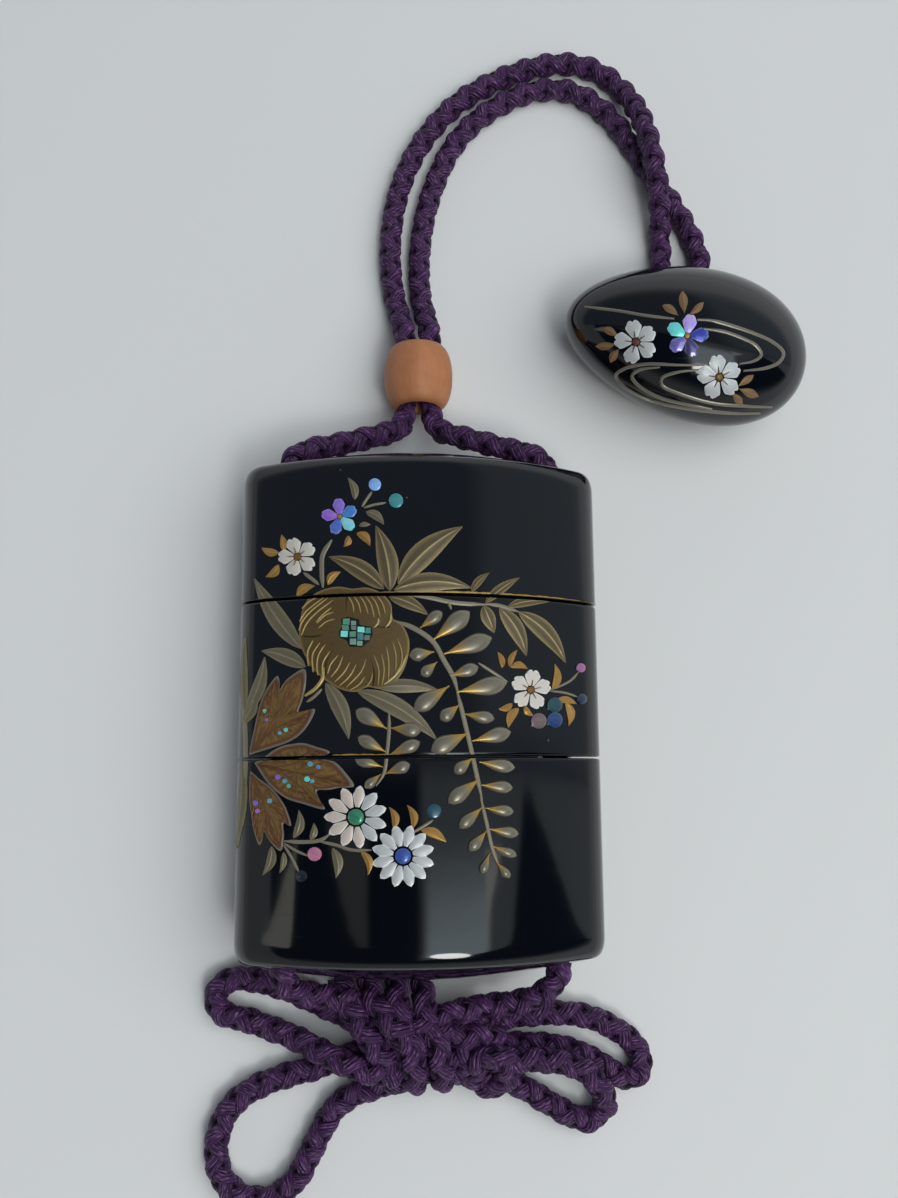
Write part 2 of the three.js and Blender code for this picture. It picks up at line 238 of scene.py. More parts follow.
class ToggleSizes(bpy.types.PropertyGroup):
    """Sizes and place of the egg-shaped toggle."""

    length: length("Length", 45, "Length of the toggle")
    width: length("Width", 28.4, "Width of the toggle")
    thickness: length("Thickness", 20.5, "Thickness of the toggle")
    taper: share("Taper", 0.19, "How much wider the right end is than the middle")
    x: length("X", 49.04, "Middle of the toggle, across")
    y: length("Y", 67.1, "Middle of the toggle, along")
    turned: turn("Turn", -11.8, "Turn of the toggle on the surface")
    rest_flat: length("Rest flat", 0.2, "Depth of the small flat that it rests on")
    hole_radius: length("Hole radius", 2.6, "Radius of the cord holes")


class BeadSizes(bpy.types.PropertyGroup):
    """Sizes and place of the wooden cord bead."""

    diameter: length("Diameter", 12.4, "Largest diameter of the bead")
    length: length("Length", 11.6, "Length of the bead along the cord")
    bore: length("Bore", 6.6, "Diameter of the bead's hole")
    end_share: share("End share", 0.62, "End diameter as a share of the largest one")
    bulge: share("Bulge", 2.2, "How full the bead's side is")
    x: length("X", 0.2, "Middle of the bead, across")
    y: length("Y", 60.55, "Middle of the bead, along")
    rest: length("Rest", 6.124, "Height of the bead's middle")


class CordSizes(bpy.types.PropertyGroup):
    """Sizes of the round braid."""

    diameter: length("Diameter", 4.2, "Diameter of the cord")
    pitch: length("Pitch", 8.8, "Length in which a strand goes once round the cord")
    strand_width: length("Strand width", 2.5, "Width of one strand")
    strand_thickness: length("Strand thickness", 1.75, "Thickness of one strand")
    strand_offset: length("Strand offset", 1.06, "Distance of a strand from the cord's middle")
    crossing: length("Crossing", 0.36, "How far strands rise and dip where they cross")
    step: length("Step", 0.34, "Length of one step along a strand")


class PictureSizes(bpy.types.PropertyGroup):
    """Heights of the raised lacquer picture."""

    lift: length("Lift", 0.12, "Height of the thinnest painted part")
    sink: length("Sink", 0.12, "Depth of a painted part's underside in the lacquer")


class Finishes(bpy.types.PropertyGroup):
    """Colours of the finishes."""

    lacquer: colour("Lacquer", (0.0008, 0.0013, 0.0022), "Black lacquer")
    floor: colour("Floor", (0.648, 0.66, 0.65), "Pale surface under the object")
    wood_dark: colour("Wood, dark", (0.31, 0.113, 0.045), "Dark grain of the bead")
    wood_light: colour("Wood, light", (0.47, 0.2, 0.084), "Light grain of the bead")
    # The dark silk colour also serves as the painted shade in the braid's creases
    silk_dark: colour("Silk, dark", (0.005, 0.0016, 0.01), "Shaded threads of the cord")
    silk_light: colour("Silk, light", (0.11, 0.033, 0.145), "Bright threads of the cord")


class CameraSetup(bpy.types.PropertyGroup):
    """Camera of the photograph's view."""

    x: length("X", -12.52, "Camera position, across")
    y: length("Y", -13.89, "Camera position, along")
    z: length("Z", 205.29, "Camera position, up")
    yaw: turn("Yaw", -5.17, "Turn about the object's long axis")
    pitch: turn("Pitch", 9.558, "Turn about the object's cross axis")
    roll: turn("Roll", -0.44, "Turn about the line of sight")
    lens: bpy.props.FloatProperty(
        name="Lens", description="Focal length in millimetres", default=34.56,
    )


GROUPS = {
    "inro_case": CaseSizes,
    "inro_toggle": ToggleSizes,
    "inro_bead": BeadSizes,
    "inro_cord": CordSizes,
    "inro_picture": PictureSizes,
    "inro_finishes": Finishes,
    "inro_camera": CameraSetup,
}


# Node trees written as plain expressions

def math_node(operation, swapped=False):
    """Method that feeds its term, and another value if there is one, to a Math node."""
    def apply(self, *others):
        values = (*others, self) if swapped else (self, *others)
        return self.maker.node("ShaderNodeMath", {"operation": operation}, dict(enumerate(values)))
    return apply


def vector_node(operation):
    """Method that feeds its term and another one to a Vector Math node."""
    def apply(self, other):
        return self.maker.node("ShaderNodeVectorMath", {"operation": operation}, {0: self, 1: other})
    return apply


class Term:
    """A node's output that takes part in Python expressions."""

    def __init__(self, maker, socket):
        self.maker = maker
        self.socket = socket

    def of(self, name):
        """Another output of the same node."""
        return Term(self.maker, self.socket.node.outputs[name])

    def scaled(self, by):
        return self.maker.node("ShaderNodeVectorMath", {"operation": "SCALE"}, {0: self, "Scale": by})

    __add__ = __radd__ = math_node("ADD")
    __sub__ = math_node("SUBTRACT")
    __rsub__ = math_node("SUBTRACT", swapped=True)
    __mul__ = __rmul__ = math_node("MULTIPLY")
    __truediv__ = math_node("DIVIDE")
    __rtruediv__ = math_node("DIVIDE", swapped=True)
    __pow__ = math_node("POWER")
    __gt__ = math_node("GREATER_THAN")
    __lt__ = math_node("LESS_THAN")
    cosine = math_node("COSINE")
    sine = math_node("SINE")
    highest = math_node("MAXIMUM")
    turned = math_node("ARCTAN2")
    plus = vector_node("ADD")
    cross = vector_node("CROSS_PRODUCT")
    times = vector_node("MULTIPLY")


class NodeMaker:
    """Adds nodes to one tree."""

    def __init__(self, tree):
        self.tree = tree

    def node(self, kind, settings=None, inputs=None, output=0):
        made = self.tree.nodes.new(kind)
        for name, value in (settings or {}).items():
            if name == "stops":
                self.set_stops(made.color_ramp, value)
            else:
                setattr(made, name, value)
        for key, value in (inputs or {}).items():
            if isinstance(value, Term):
                self.tree.links.new(value.socket, made.inputs[key])
            else:
                made.inputs[key].default_value = value
        return Term(self, made.outputs[output])

    @staticmethod
    def set_stops(ramp, stops):
        while len(ramp.elements) < len(stops):
            ramp.elements.new(1.0)
        for element, (place, shade) in zip(ramp.elements, stops):
            element.position = place
            element.color = (*shade, 1)

    def combine(self, x, y, z):
        return self.node("ShaderNodeCombineXYZ", None, {"X": x, "Y": y, "Z": z})

    def mix(self, factor, a, b, blend="MIX"):
        settings = {"data_type": "RGBA", "blend_type": blend}
        values = [value if isinstance(value, Term) else (*value, 1) for value in (a, b)]
        return self.node("ShaderNodeMix", settings, {0: factor, 6: values[0], 7: values[1]}, 2)

    def ramp(self, value, low, high):
        """Smooth step from 0 at low to 1 at high."""
        return self.node("ShaderNodeMapRange", {"interpolation_type": "SMOOTHSTEP"}, {
            "Value": value, "From Min": low, "From Max": high,
        })

    def noise(self, place, scale, detail=2.0, roughness=0.5, distortion=0.0):
        return self.node("ShaderNodeTexNoise", None, {
            "Vector": place, "Scale": scale, "Detail": detail, "Roughness": roughness,
            "Distortion": distortion,
        })

    def attribute(self, name, output="Color"):
        return self.node("ShaderNodeAttribute", {"attribute_name": name}).of(output)

    def separate(self, vector):
        return self.node("ShaderNodeSeparateXYZ", None, {"Vector": vector})

    def tones(self, value, stops):
        return self.node("ShaderNodeValToRGB", {"stops": stops}, {"Fac": value}).of("Color")


def new_material(name):
    material = bpy.data.materials.new(name)
    material.use_nodes = True
    maker = NodeMaker(material.node_tree)
    shader = material.node_tree.nodes["Principled BSDF"]
    return material, maker, shader


def feed(maker, shader, **values):
    """Sets the shader's sockets; an underscore in a name stands for a space."""
    for name, value in values.items():
        socket = shader.inputs[name.replace("_", " ")]
        if isinstance(value, Term):
            maker.tree.links.new(value.socket, socket)
        else:
            socket.default_value = value


def bump(maker, height, strength, distance):
    return maker.node("ShaderNodeBump", None, {
        "Height": height, "Strength": strength, "Distance": distance,
    })


def object_place(maker, turned=(0, 0, 0), scale=(1, 1, 1)):
    place = maker.node("ShaderNodeTexCoord").of("Object")
    return maker.node("ShaderNodeMapping", None, {
        "Vector": place, "Rotation": turned, "Scale": scale,
    })


# Finishes

# Heights that the finishes' bumps stand for
LACQUER_RELIEF = 0.6 * MM
PICTURE_RELIEF = 0.05 * MM
WOOD_RELIEF = 0.1 * MM
SILK_RELIEF = 0.25 * MM
DUST_GREY = (0.5, 0.5, 0.48)
WORN_POWDER = (0.05, 0.04, 0.025)
WOOD_MIDDLE = (0.39, 0.158, 0.065)
# Colour of the small painted glints on the silk
SILK_PAINTED_GLINT = (0.34, 0.2, 0.38)
SILK_SHEEN = (0.75, 0.4, 0.9, 1)


def lacquer_material():
    """Near-black gloss with faint clouds, hairlines and a little dust."""
    material, maker, shader = new_material("black_lacquer")
    black = tuple(bpy.context.scene.inro_finishes.lacquer)
    clouds = maker.noise(object_place(maker), 45, 3)
    hair_a = maker.noise(object_place(maker, (0, 0, 0.5), (3200, 60, 60)), 1, 2)
    hair_b = maker.noise(object_place(maker, (0, 0, -0.9), (60, 2800, 60)), 1, 2)
    hairs = (hair_a > 0.71).highest(hair_b > 0.72)
    speck = maker.node("ShaderNodeTexVoronoi", None, {
        "Vector": object_place(maker), "Scale": 210, "Randomness": 1,
    }).of("Distance")
    dust = (speck < 0.032) * (clouds > 0.55)
    paler = tuple(part * 1.5 + 0.0004 for part in black)
    base = maker.mix(clouds, black, paler)
    base = maker.mix(dust * 0.16, base, DUST_GREY)
    feed(
        maker, shader, Base_Color=base, Roughness=0.05 + clouds * 0.05 + hairs * 0.05 + dust * 0.4,
        IOR=1.52, Coat_Weight=0.35, Coat_Roughness=0.03,
        Normal=bump(maker, clouds + hairs * 0.01, 0.12, LACQUER_RELIEF),
    )
    return material


def picture_material(name, metallic, roughness, grain, coat):
    """Powdered or inlaid picture finish; each part's own colour comes from the paint attribute."""
    material, maker, shader = new_material(name)
    paint = maker.attribute("paint")
    powder = maker.noise(object_place(maker), 2600, 2, 0.7)
    wear = maker.noise(object_place(maker), 300, 3, 0.6)
    worn = maker.mix(wear * grain, paint, WORN_POWDER, "MULTIPLY")
    base = maker.mix(grain * powder, paint, worn)
    feed(
        maker, shader, Base_Color=base, Metallic=metallic,
        Roughness=roughness + (powder - 0.5) * 0.3 * grain + wear * 0.12,
        Coat_Weight=coat, Coat_Roughness=0.05,
        Normal=bump(maker, powder + wear, 0.35 * grain, PICTURE_RELIEF),
    )
    return material


def shell_material():
    """Mother-of-pearl: the part's colour drifts towards its neighbours over each piece."""
    material, maker, shader = new_material("shell_inlay")
    paint = maker.attribute("paint")
    drift = maker.noise(object_place(maker, (0.3, 0.2, 0.6), (1, 1.8, 1)), 520, 2, 0.5, 0.6)
    grain = maker.noise(object_place(maker, (0, 0, 0.8), (1, 6, 1)), 1300, 2)
    tones = maker.tones(drift, [
        (0.3, (0.3, 0.15, 0.9)), (0.46, (0.25, 0.5, 1.0)), (0.56, (0.3, 0.95, 0.8)), (0.7, (1, 0.5, 0.8)),
    ])
    base = maker.mix(0.28, paint, tones, "OVERLAY")
    base = maker.mix(grain * 0.35, base, WHITE, "SOFT_LIGHT")
    feed(
        maker, shader, Base_Color=base, Metallic=0.35, Roughness=0.16 + grain * 0.16,
        Coat_Weight=1.0, Coat_Roughness=0.04,
        Normal=bump(maker, grain, 0.15, PICTURE_RELIEF),
    )
    return material


def wood_material():
    material, maker, shader = new_material("bead_wood")
    finishes = bpy.context.scene.inro_finishes
    along = object_place(maker, (0.05, 0.1, 0.06), (1, 0.16, 1))
    fibre = maker.noise(along, 1900, 3, 0.65)
    rings = maker.noise(along, 330, 2, 0.5, 0.5)
    patches = maker.noise(object_place(maker), 420, 2)
    grain = fibre * 0.3 + rings * 0.4 + patches * 0.3
    base = maker.tones(grain, [
        (0.3, tuple(finishes.wood_dark)), (0.5, WOOD_MIDDLE), (0.72, tuple(finishes.wood_light)),
    ])
    feed(
        maker, shader, Base_Color=base, Roughness=0.5 + fibre * 0.2,
        Coat_Weight=0.1, Coat_Roughness=0.3,
        Normal=bump(maker, fibre, 0.18, WOOD_RELIEF),
    )
    return material


def silk_material():
    """Fine silk threads that run along each strand of the braid, with painted shade in its creases and small painted
    glints on its outer faces.
    """
    material, maker, shader = new_material("cord_silk")
    finishes = bpy.context.scene.inro_finishes
    across = maker.attribute("across", "Vector")
    run = maker.attribute("run", "Fac")
    parts = maker.separate(across)
    around = parts.of("Y").turned(parts.of("X"))
    ply = (around * 11 + run * 900).cosine()
    place = across.times((5.2, 5.2, 0)).plus(maker.combine(0, 0, run * 300))
    threads = maker.noise(place, 1.0, 3, 0.6)
    # Noise for the small painted glints on the silk, which also brighten the thread tone
    painted_glint = maker.noise(across.times((6, 6, 0)).plus(maker.combine(0, 0, run * 1700)), 1.0, 1)
    shade = (threads * 0.75 + painted_glint * 0.25 - 0.36) * 2.6 + ply * 0.12
    # Painted shade: the strands' inner faces, in the braid's creases, are darkened towards the dark silk colour, and
    # the painted glints are kept to the outer faces
    raised = maker.ramp(parts.of("X"), -0.2, 0.9)
    base = maker.mix(
        shade.highest(0) * (0.1 + raised * 0.9), tuple(finishes.silk_dark), tuple(finishes.silk_light)
    )
    base = maker.mix((painted_glint > 0.6) * raised * 0.3, base, SILK_PAINTED_GLINT)
    feed(
        maker, shader, Base_Color=base, Roughness=0.4 + threads * 0.3,
        Specular_IOR_Level=0.32, Sheen_Weight=0.04, Sheen_Roughness=0.4,
        Sheen_Tint=SILK_SHEEN,
        Normal=bump(maker, threads * 0.8 + ply * 0.35, 0.8, SILK_RELIEF),
    )
    return material


def floor_material():
    material, maker, shader = new_material("pale_surface")
    cloud = maker.noise(object_place(maker), 7, 2)
    pale = tuple(bpy.context.scene.inro_finishes.floor)
    darker = tuple(part * 0.965 for part in pale)
    feed(maker, shader, Base_Color=maker.mix(cloud, darker, pale), Roughness=0.75)
    return material


MATERIALS = {}


def finish_of(name, build, *settings):
    if name not in MATERIALS:
        MATERIALS[name] = build(*settings)
    return MATERIALS[name]


def lacquer():
    return finish_of("lacquer", lacquer_material)


def silk():
    return finish_of("silk", silk_material)


PICTURE_FINISHES = {
    "gold": (picture_material, "maki_e_gold", 0.5, 0.36, 0.8, 0.0),
    "silver": (picture_material, "maki_e_silver", 0.65, 0.27, 0.35, 0.0),
    "petal": (picture_material, "silver_petal", 0.2, 0.34, 0.35, 0.1),
    "pale": (picture_material, "pale_inlay", 0.0, 0.42, 0.25, 0.1),
    "shell": (shell_material,),
}


# Mesh helpers

def add_object(name, mesh):
    made = bpy.data.objects.new(name, mesh)
    bpy.context.collection.objects.link(made)
    return made


def mesh_object(name, points, faces):
    mesh = bpy.data.meshes.new(name)
    mesh.from_pydata([tuple(p) for p in points], [], faces)
    outward(mesh)
    return add_object(name, mesh)


def outward(mesh):
    work = bmesh.new()
    work.from_mesh(mesh)
    bmesh.ops.remove_doubles(work, verts=work.verts, dist=2e-7)
    bmesh.ops.recalc_face_normals(work, faces=work.faces)
    work.to_mesh(mesh)
    work.free()
    mesh.update()


def smooth(made, degrees):
    made.data.shade_smooth()
    made.data.set_sharp_from_angle(angle=math.radians(degrees))


def bake_modifiers(made):
    """Turns the object with its modifiers into a plain mesh."""
    graph = bpy.context.evaluated_depsgraph_get()
    mesh = bpy.data.meshes.new_from_object(made.evaluated_get(graph))
    name = made.name
    bpy.data.objects.remove(made)
    done = add_object(name, mesh)
    mesh.name = name
    return done


def dress(made, material, slot, *nodes):
    made.data.materials.clear()
    made.data.materials.append(material)
    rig.ride(made, "root")
    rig.slot(made, slot)
    if nodes:
        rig.replaces(made, *nodes)
    return made


def circle(steps):
    """Cosine and sine at equal steps round a full turn."""
    angles = [2 * math.pi * i / steps for i in range(steps)]
    return [(math.cos(angle), math.sin(angle)) for angle in angles]


def quarter(steps):
    """Sine and cosine at equal steps over a quarter turn, with both its ends."""
    angles = [math.pi / 2 * i / steps for i in range(steps + 1)]
    return [(math.sin(angle), math.cos(angle)) for angle in angles]


def ring_faces(rows, count, closed=False):
    """Quads between rows of points; closed joins the last row to the first."""
    faces = []
    for k in range(rows if closed else rows - 1):
        n = (k + 1) % rows
        for i in range(count):
            j = (i + 1) % count
            faces.append((k * count + i, k * count + j, n * count + j, n * count + i))
    return faces


def lofted(rings):
    """Closed shell from rings of equal point counts, with a fan over each end ring."""
    count = len(rings[0])
    points = [p for ring in rings for p in ring]
    faces = ring_faces(len(rings), count)
    for start in (0, (len(rings) - 1) * count):
        hub = len(points)
        points.append(sum(points[start:start + count], Vector()) / count)
        faces += [(hub, start + i, start + (i + 1) % count) for i in range(count)]
    return points, faces


def turned_solid(name, profile, centre, axis, segments=64):
    """Solid turned about an axis; the profile is pairs of distance along it and radius."""
    axis = Vector(axis).normalized()
    side = axis.orthogonal().normalized()
    up = axis.cross(side)
    rings = []
    for along, radius in profile:
        middle = Vector(centre) + axis * along
        rings.append([middle + (side * c + up * s) * radius for c, s in circle(segments)])
    return mesh_object(name, *lofted(rings))


def carve(made, cutters):
    for cutter in cutters:
        cut = made.modifiers.new("cut", "BOOLEAN")
        cut.operation = "DIFFERENCE"
        cut.solver = "EXACT"
        cut.object = cutter
        made = bake_modifiers(made)
        bpy.data.objects.remove(cutter)
    outward(made.data)
    return made


# Case section: two shallow face arcs joined by two tight side arcs

FACE_STEPS = 46
SIDE_STEPS = 18
BEVEL_STEPS = 3
RIM_STEPS = 12
CROWN_STEPS = 15
CHANNEL_MOUTH_STEPS = 8
END_SHARES = (0.25, 0.5, 0.75, 0.92)
MIDDLE_SHARES = (0.2, 0.4, 0.6, 0.8)
RIM_FULLNESS = 1.15
# Share of a curved side that heights are read on, short of its upright edge
EDGE_REACH = 0.985
# Flat strip beside each bevel, which keeps the bevel's shading off the long faces
SEAM_SUPPORT = 0.25 * MM
# Edges that turn more than this many degrees stay crisp
CRISP_ANGLE = 38


class CaseShape:
    """Cross-section of the case and the surface of its front and back."""

    def __init__(self, sizes):
        self.sizes = sizes
        self.side_centre = sizes.width / 2 - sizes.side_radius
        half_depth = sizes.depth / 2
        spare = self.side_centre ** 2 + half_depth ** 2 - sizes.side_radius ** 2
        self.face_radius = spare / (2 * (half_depth - sizes.side_radius))
        self.face_centre = self.face_radius - half_depth
        self.half_angle = math.atan2(self.side_centre, self.face_centre)
        low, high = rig.box("middle_case")
        self.middle_z = (low[2] + high[2]) / 2
        self.rim = sizes.rim_span / 2
        self.lid_seam = self.rim - sizes.lid_height
        self.base_seam = sizes.base_height - self.rim

    def outline(self, inset, clamp=None):
        """Section's outline as x and z; clamp cuts it off straight at both sides."""
        big = self.face_radius - inset
        small = self.sizes.side_radius - inset
        half = []
        for i in range(FACE_STEPS):
            angle = self.half_angle * (1 - 2 * i / FACE_STEPS)
            half.append((big * math.sin(angle), big * math.cos(angle) - self.face_centre))
        span = math.pi - 2 * self.half_angle
        for i in range(SIDE_STEPS):
            angle = -self.half_angle - span * i / SIDE_STEPS
            half.append((small * math.sin(angle) - self.side_centre, small * math.cos(angle)))
        points = half + [(-x, -z) for x, z in half]
        if clamp:
            points = [(max(-clamp, min(clamp, x)), z) for x, z in points]
        return points

    def ring(self, y, inset, scale=1.0, clamp=None):
        """Outline at y, kept above the surface that the case lies on."""
        outline = self.outline(inset, clamp)
        return [Vector((x * scale, y, max(0.0, z * scale + self.middle_z))) for x, z in outline]

    def height(self, x):
        """Height of the front above the case's middle plane at x."""
        x = abs(x)
        if x <= self.face_radius * math.sin(self.half_angle):
            return math.sqrt(self.face_radius ** 2 - x ** 2) - self.face_centre
        reach = min(x - self.side_centre, self.sizes.side_radius * EDGE_REACH)
        return math.sqrt(self.sizes.side_radius ** 2 - reach ** 2)


def bevel_rings(shape, seam, side):
    """Rings over the bevel at a seam and its flat strip; side is 1 where the section lies above."""
    bevel = shape.sizes.seam_bevel
    rings = []
    for rise, rest in quarter(BEVEL_STEPS):
        rings.append(shape.ring(seam + side * bevel * (1 - rest), bevel * (1 - rise)))
    rings.append(shape.ring(seam + side * (bevel + SEAM_SUPPORT), 0))
    return rings


def end_rings(shape, side, seam):
    """Rings from a seam over the rounded rim to the domed end; side is 1 for the lid."""
    sizes = shape.sizes
    rings = bevel_rings(shape, seam, side)
    start = shape.rim - sizes.rim_length
    for y_share in END_SHARES:
        rings.append(shape.ring(seam + (side * start - seam) * y_share, 0))
    for rise, rest in quarter(RIM_STEPS):
        y = side * (start + sizes.rim_length * rise)
        rings.append(shape.ring(y, sizes.rim_inset * (1 - rest) ** RIM_FULLNESS))
    for _, scale in quarter(CROWN_STEPS)[1:-1]:
        y = side * (shape.rim + sizes.crown_height * (1 - scale ** 2))
        rings.append(shape.ring(y, sizes.rim_inset, scale))
    return rings


def crown_at_channel(shape):
    """Distance of the domed end from the case's middle where a cord channel leaves it."""
    share_out = shape.sizes.channel_offset / (shape.sizes.width / 2 - shape.sizes.rim_inset)
    return shape.rim + shape.sizes.crown_height * (1 - share_out ** 2)


def channel_cutters(shape, ends):
    """Cutters for both cord channels; ends is 1 or -1 where they leave a domed end, or else 0."""
    sizes = shape.sizes
    reach = shape.rim + 2 * sizes.crown_height
    profile = [(-reach, sizes.channel_radius)]
    end_radius = sizes.channel_radius
    if ends:
        start = crown_at_channel(shape) - sizes.mouth_depth
        for rise, rest in quarter(CHANNEL_MOUTH_STEPS):
            radius = sizes.channel_radius + sizes.mouth_flare * (1 - rest)
            profile.append((start + sizes.mouth_depth * rise, radius))
        end_radius = radius + 2 * sizes.mouth_flare
    profile.append((reach, end_radius))
    cutters = []
    for x_side in (-1, 1):
        centre = (x_side * sizes.channel_offset, 0, shape.middle_z)
        cutters.append(turned_solid("channel_cutter", profile, centre, (0, ends or 1, 0)))
    return cutters


def build_case_section(name, rings, shape, ends):
    made = mesh_object(name, *lofted(rings))
    made = carve(made, channel_cutters(shape, ends))
    smooth(made, CRISP_ANGLE)
    return made


def section_rings(shape):
    """Rings of each section from one end of its wall round to the other, with its ends' side."""
    sizes = shape.sizes
    half = sizes.seam_gap / 2
    ceiling = shape.rim + sizes.crown_height - sizes.end_thickness
    recess_half = sizes.channel_offset - sizes.channel_radius - sizes.channel_wall
    riser_half = recess_half - sizes.riser_fit
    room_half = riser_half - sizes.riser_wall
    riser_inset = sizes.shell_wall + sizes.riser_fit
    room_inset = riser_inset + sizes.riser_wall

    def recess(y):
        return shape.ring(y, sizes.shell_wall, clamp=recess_half)

    def riser(y):
        return shape.ring(y, riser_inset, clamp=riser_half)

    def room(y):
        return shape.ring(y, room_inset, clamp=room_half)

    def room_and_riser(floor, seam, outer_seam):
        top = seam + sizes.riser_height
        return [room(floor), room(top), riser(top), riser(outer_seam)]

    lid_low = shape.lid_seam + half
    lid = list(reversed(end_rings(shape, 1, lid_low)))
    lid += [recess(lid_low), recess(ceiling)]

    low = shape.base_seam + half
    high = shape.lid_seam - half
    recess_top = shape.base_seam + sizes.riser_height + sizes.riser_end_gap
    middle = room_and_riser(recess_top + sizes.floor_thickness, shape.lid_seam, high)
    middle += bevel_rings(shape, high, -1)
    middle += [shape.ring(high + (low - high) * y_share, 0) for y_share in MIDDLE_SHARES]
    middle += reversed(bevel_rings(shape, low, 1))
    middle += [recess(low), recess(recess_top)]

    base_high = shape.base_seam - half
    bottom = room_and_riser(-ceiling, shape.base_seam, base_high)
    bottom += end_rings(shape, -1, base_high)
    return {"lid": (lid, 1), "middle_case": (middle, 0), "bottom_case": (bottom, -1)}


# Bead and toggle

BEAD_LIP = 0.35 * MM
BEAD_ROWS = 40
BEAD_SIDES = 72
BEAD_CRISP_ANGLE = 50
TOGGLE_ROWS = 60
TOGGLE_SIDES = 96
HOLE_SIDES = 48
HOLE_MOUTH_STEPS = 6
HOLE_MOUTH_DEPTH = 2.2 * MM
HOLE_MOUTH_FLARE = 1.0 * MM
# How far a hole's cutter goes on outside the toggle, and how much wider it is there
HOLE_CUTTER_PAST = 6 * MM
HOLE_CUTTER_WIDER = 4 * MM
ToggleHole = namedtuple("ToggleHole", "mouth inner")
TOGGLE_HOLES = [
    ToggleHole(mouth=(47.4, 79.6, 2.9), inner=(47.6, 71.3, 9.0)),
    ToggleHole(mouth=(54.9, 79.6, 2.9), inner=(53.5, 71.3, 9.0)),
]


def build_bead(sizes):
    """Barrel whose surface runs in at one end of the bore and out at the other."""
    end = sizes.diameter / 2 * sizes.end_share
    bore = sizes.bore / 2
    half = sizes.length / 2
    profile = [(BEAD_LIP - half, bore), (-half, bore + BEAD_LIP)]
    for i in range(BEAD_ROWS + 1):
        t = 2 * i / BEAD_ROWS - 1
        swell = math.sqrt(max(0.0, 1 - abs(t) ** sizes.bulge))
        profile.append((t * half, end + (sizes.diameter / 2 - end) * swell))
    profile += [(half, bore + BEAD_LIP), (half - BEAD_LIP, bore)]
    points = []
    for along, radius in profile:
        for c, s in circle(BEAD_SIDES):
            points.append((sizes.x + radius * c, sizes.y + along, max(0.0, sizes.rest + radius * s)))
    made = mesh_object("ojime_bead_wood", points, ring_faces(len(profile), BEAD_SIDES, closed=True))
    smooth(made, BEAD_CRISP_ANGLE)
    return made


class ToggleShape:
    """Surface of the egg-shaped toggle; s runs from -1 at its left tip to 1 at its right one."""

    def __init__(self, sizes):
        self.sizes = sizes
        self.middle_z = sizes.thickness / 2 - sizes.rest_flat
        self.place = Matrix.Translation((sizes.x, sizes.y, 0)) @ Matrix.Rotation(sizes.turned, 4, "Z")
        self.back = self.place.inverted()

    def half_width(self, s):
        return self.sizes.width / 2 * math.sqrt(max(0.0, 1 - s ** 2)) * (1 + self.sizes.taper * s)

    def half_thickness(self, s):
        return self.sizes.thickness / 2 * math.sqrt(1 - s ** 2)

    def rings(self):
        rings = []
        for k in range(1, TOGGLE_ROWS):
            s = -math.cos(math.pi * k / TOGGLE_ROWS)
            x = s * self.sizes.length / 2
            ring = []
            for across, up in circle(TOGGLE_SIDES):
                z = max(0.0, self.half_thickness(s) * up + self.middle_z)
                ring.append(self.place @ Vector((x, self.half_width(s) * across, z)))
            rings.append(ring)
        return rings

    def height(self, x, y):
        local = self.back @ Vector((x, y, 0))
        s = max(-EDGE_REACH, min(EDGE_REACH, 2 * local.x / self.sizes.length))
        across = max(-EDGE_REACH, min(EDGE_REACH, local.y / self.half_width(s)))
        return self.middle_z + self.half_thickness(s) * math.sqrt(1 - across ** 2)


def build_toggle(shape):
    """Egg with two cord holes from below, joined inside by a cross bore."""
    made = mesh_object("netsuke_toggle", *lofted(shape.rings()))
    radius = shape.sizes.hole_radius
    cutters = []
    for hole in TOGGLE_HOLES:
        mouth = Vector(hole.mouth) * MM
        inner = Vector(hole.inner) * MM
        out = (mouth - inner).normalized()
        reach = (mouth - inner).length
        profile = [(0, radius), (reach - HOLE_MOUTH_DEPTH, radius)]
        for rise, rest in quarter(HOLE_MOUTH_STEPS)[1:]:
            wider = HOLE_MOUTH_FLARE * (1 - rest)
            profile.append((reach + HOLE_MOUTH_DEPTH * (rise - 1), radius + wider))
        profile.append((reach + HOLE_CUTTER_PAST, radius + HOLE_CUTTER_WIDER))
        cutters.append(turned_solid("hole_cutter", profile, inner, out, HOLE_SIDES))
    first, second = (Vector(hole.inner) * MM for hole in TOGGLE_HOLES)
    profile = [(0, radius), ((second - first).length, radius)]
    cutters.append(turned_solid("cross_cutter", profile, first, second - first, HOLE_SIDES))
    made = carve(made, cutters)
    smooth(made, CRISP_ANGLE)
    return made


# Cord routes, in millimetres; a point without a height lies on the surface

LYING_HEIGHT = 2.15
ROUTE_SPACING = 0.8
# Share of its thickness that the cord is pressed to in the bead, and how far past it
PRESSED_SHARE = 0.72
PRESSED_PAST = 0.5
PRESSED_REACH = 2.6

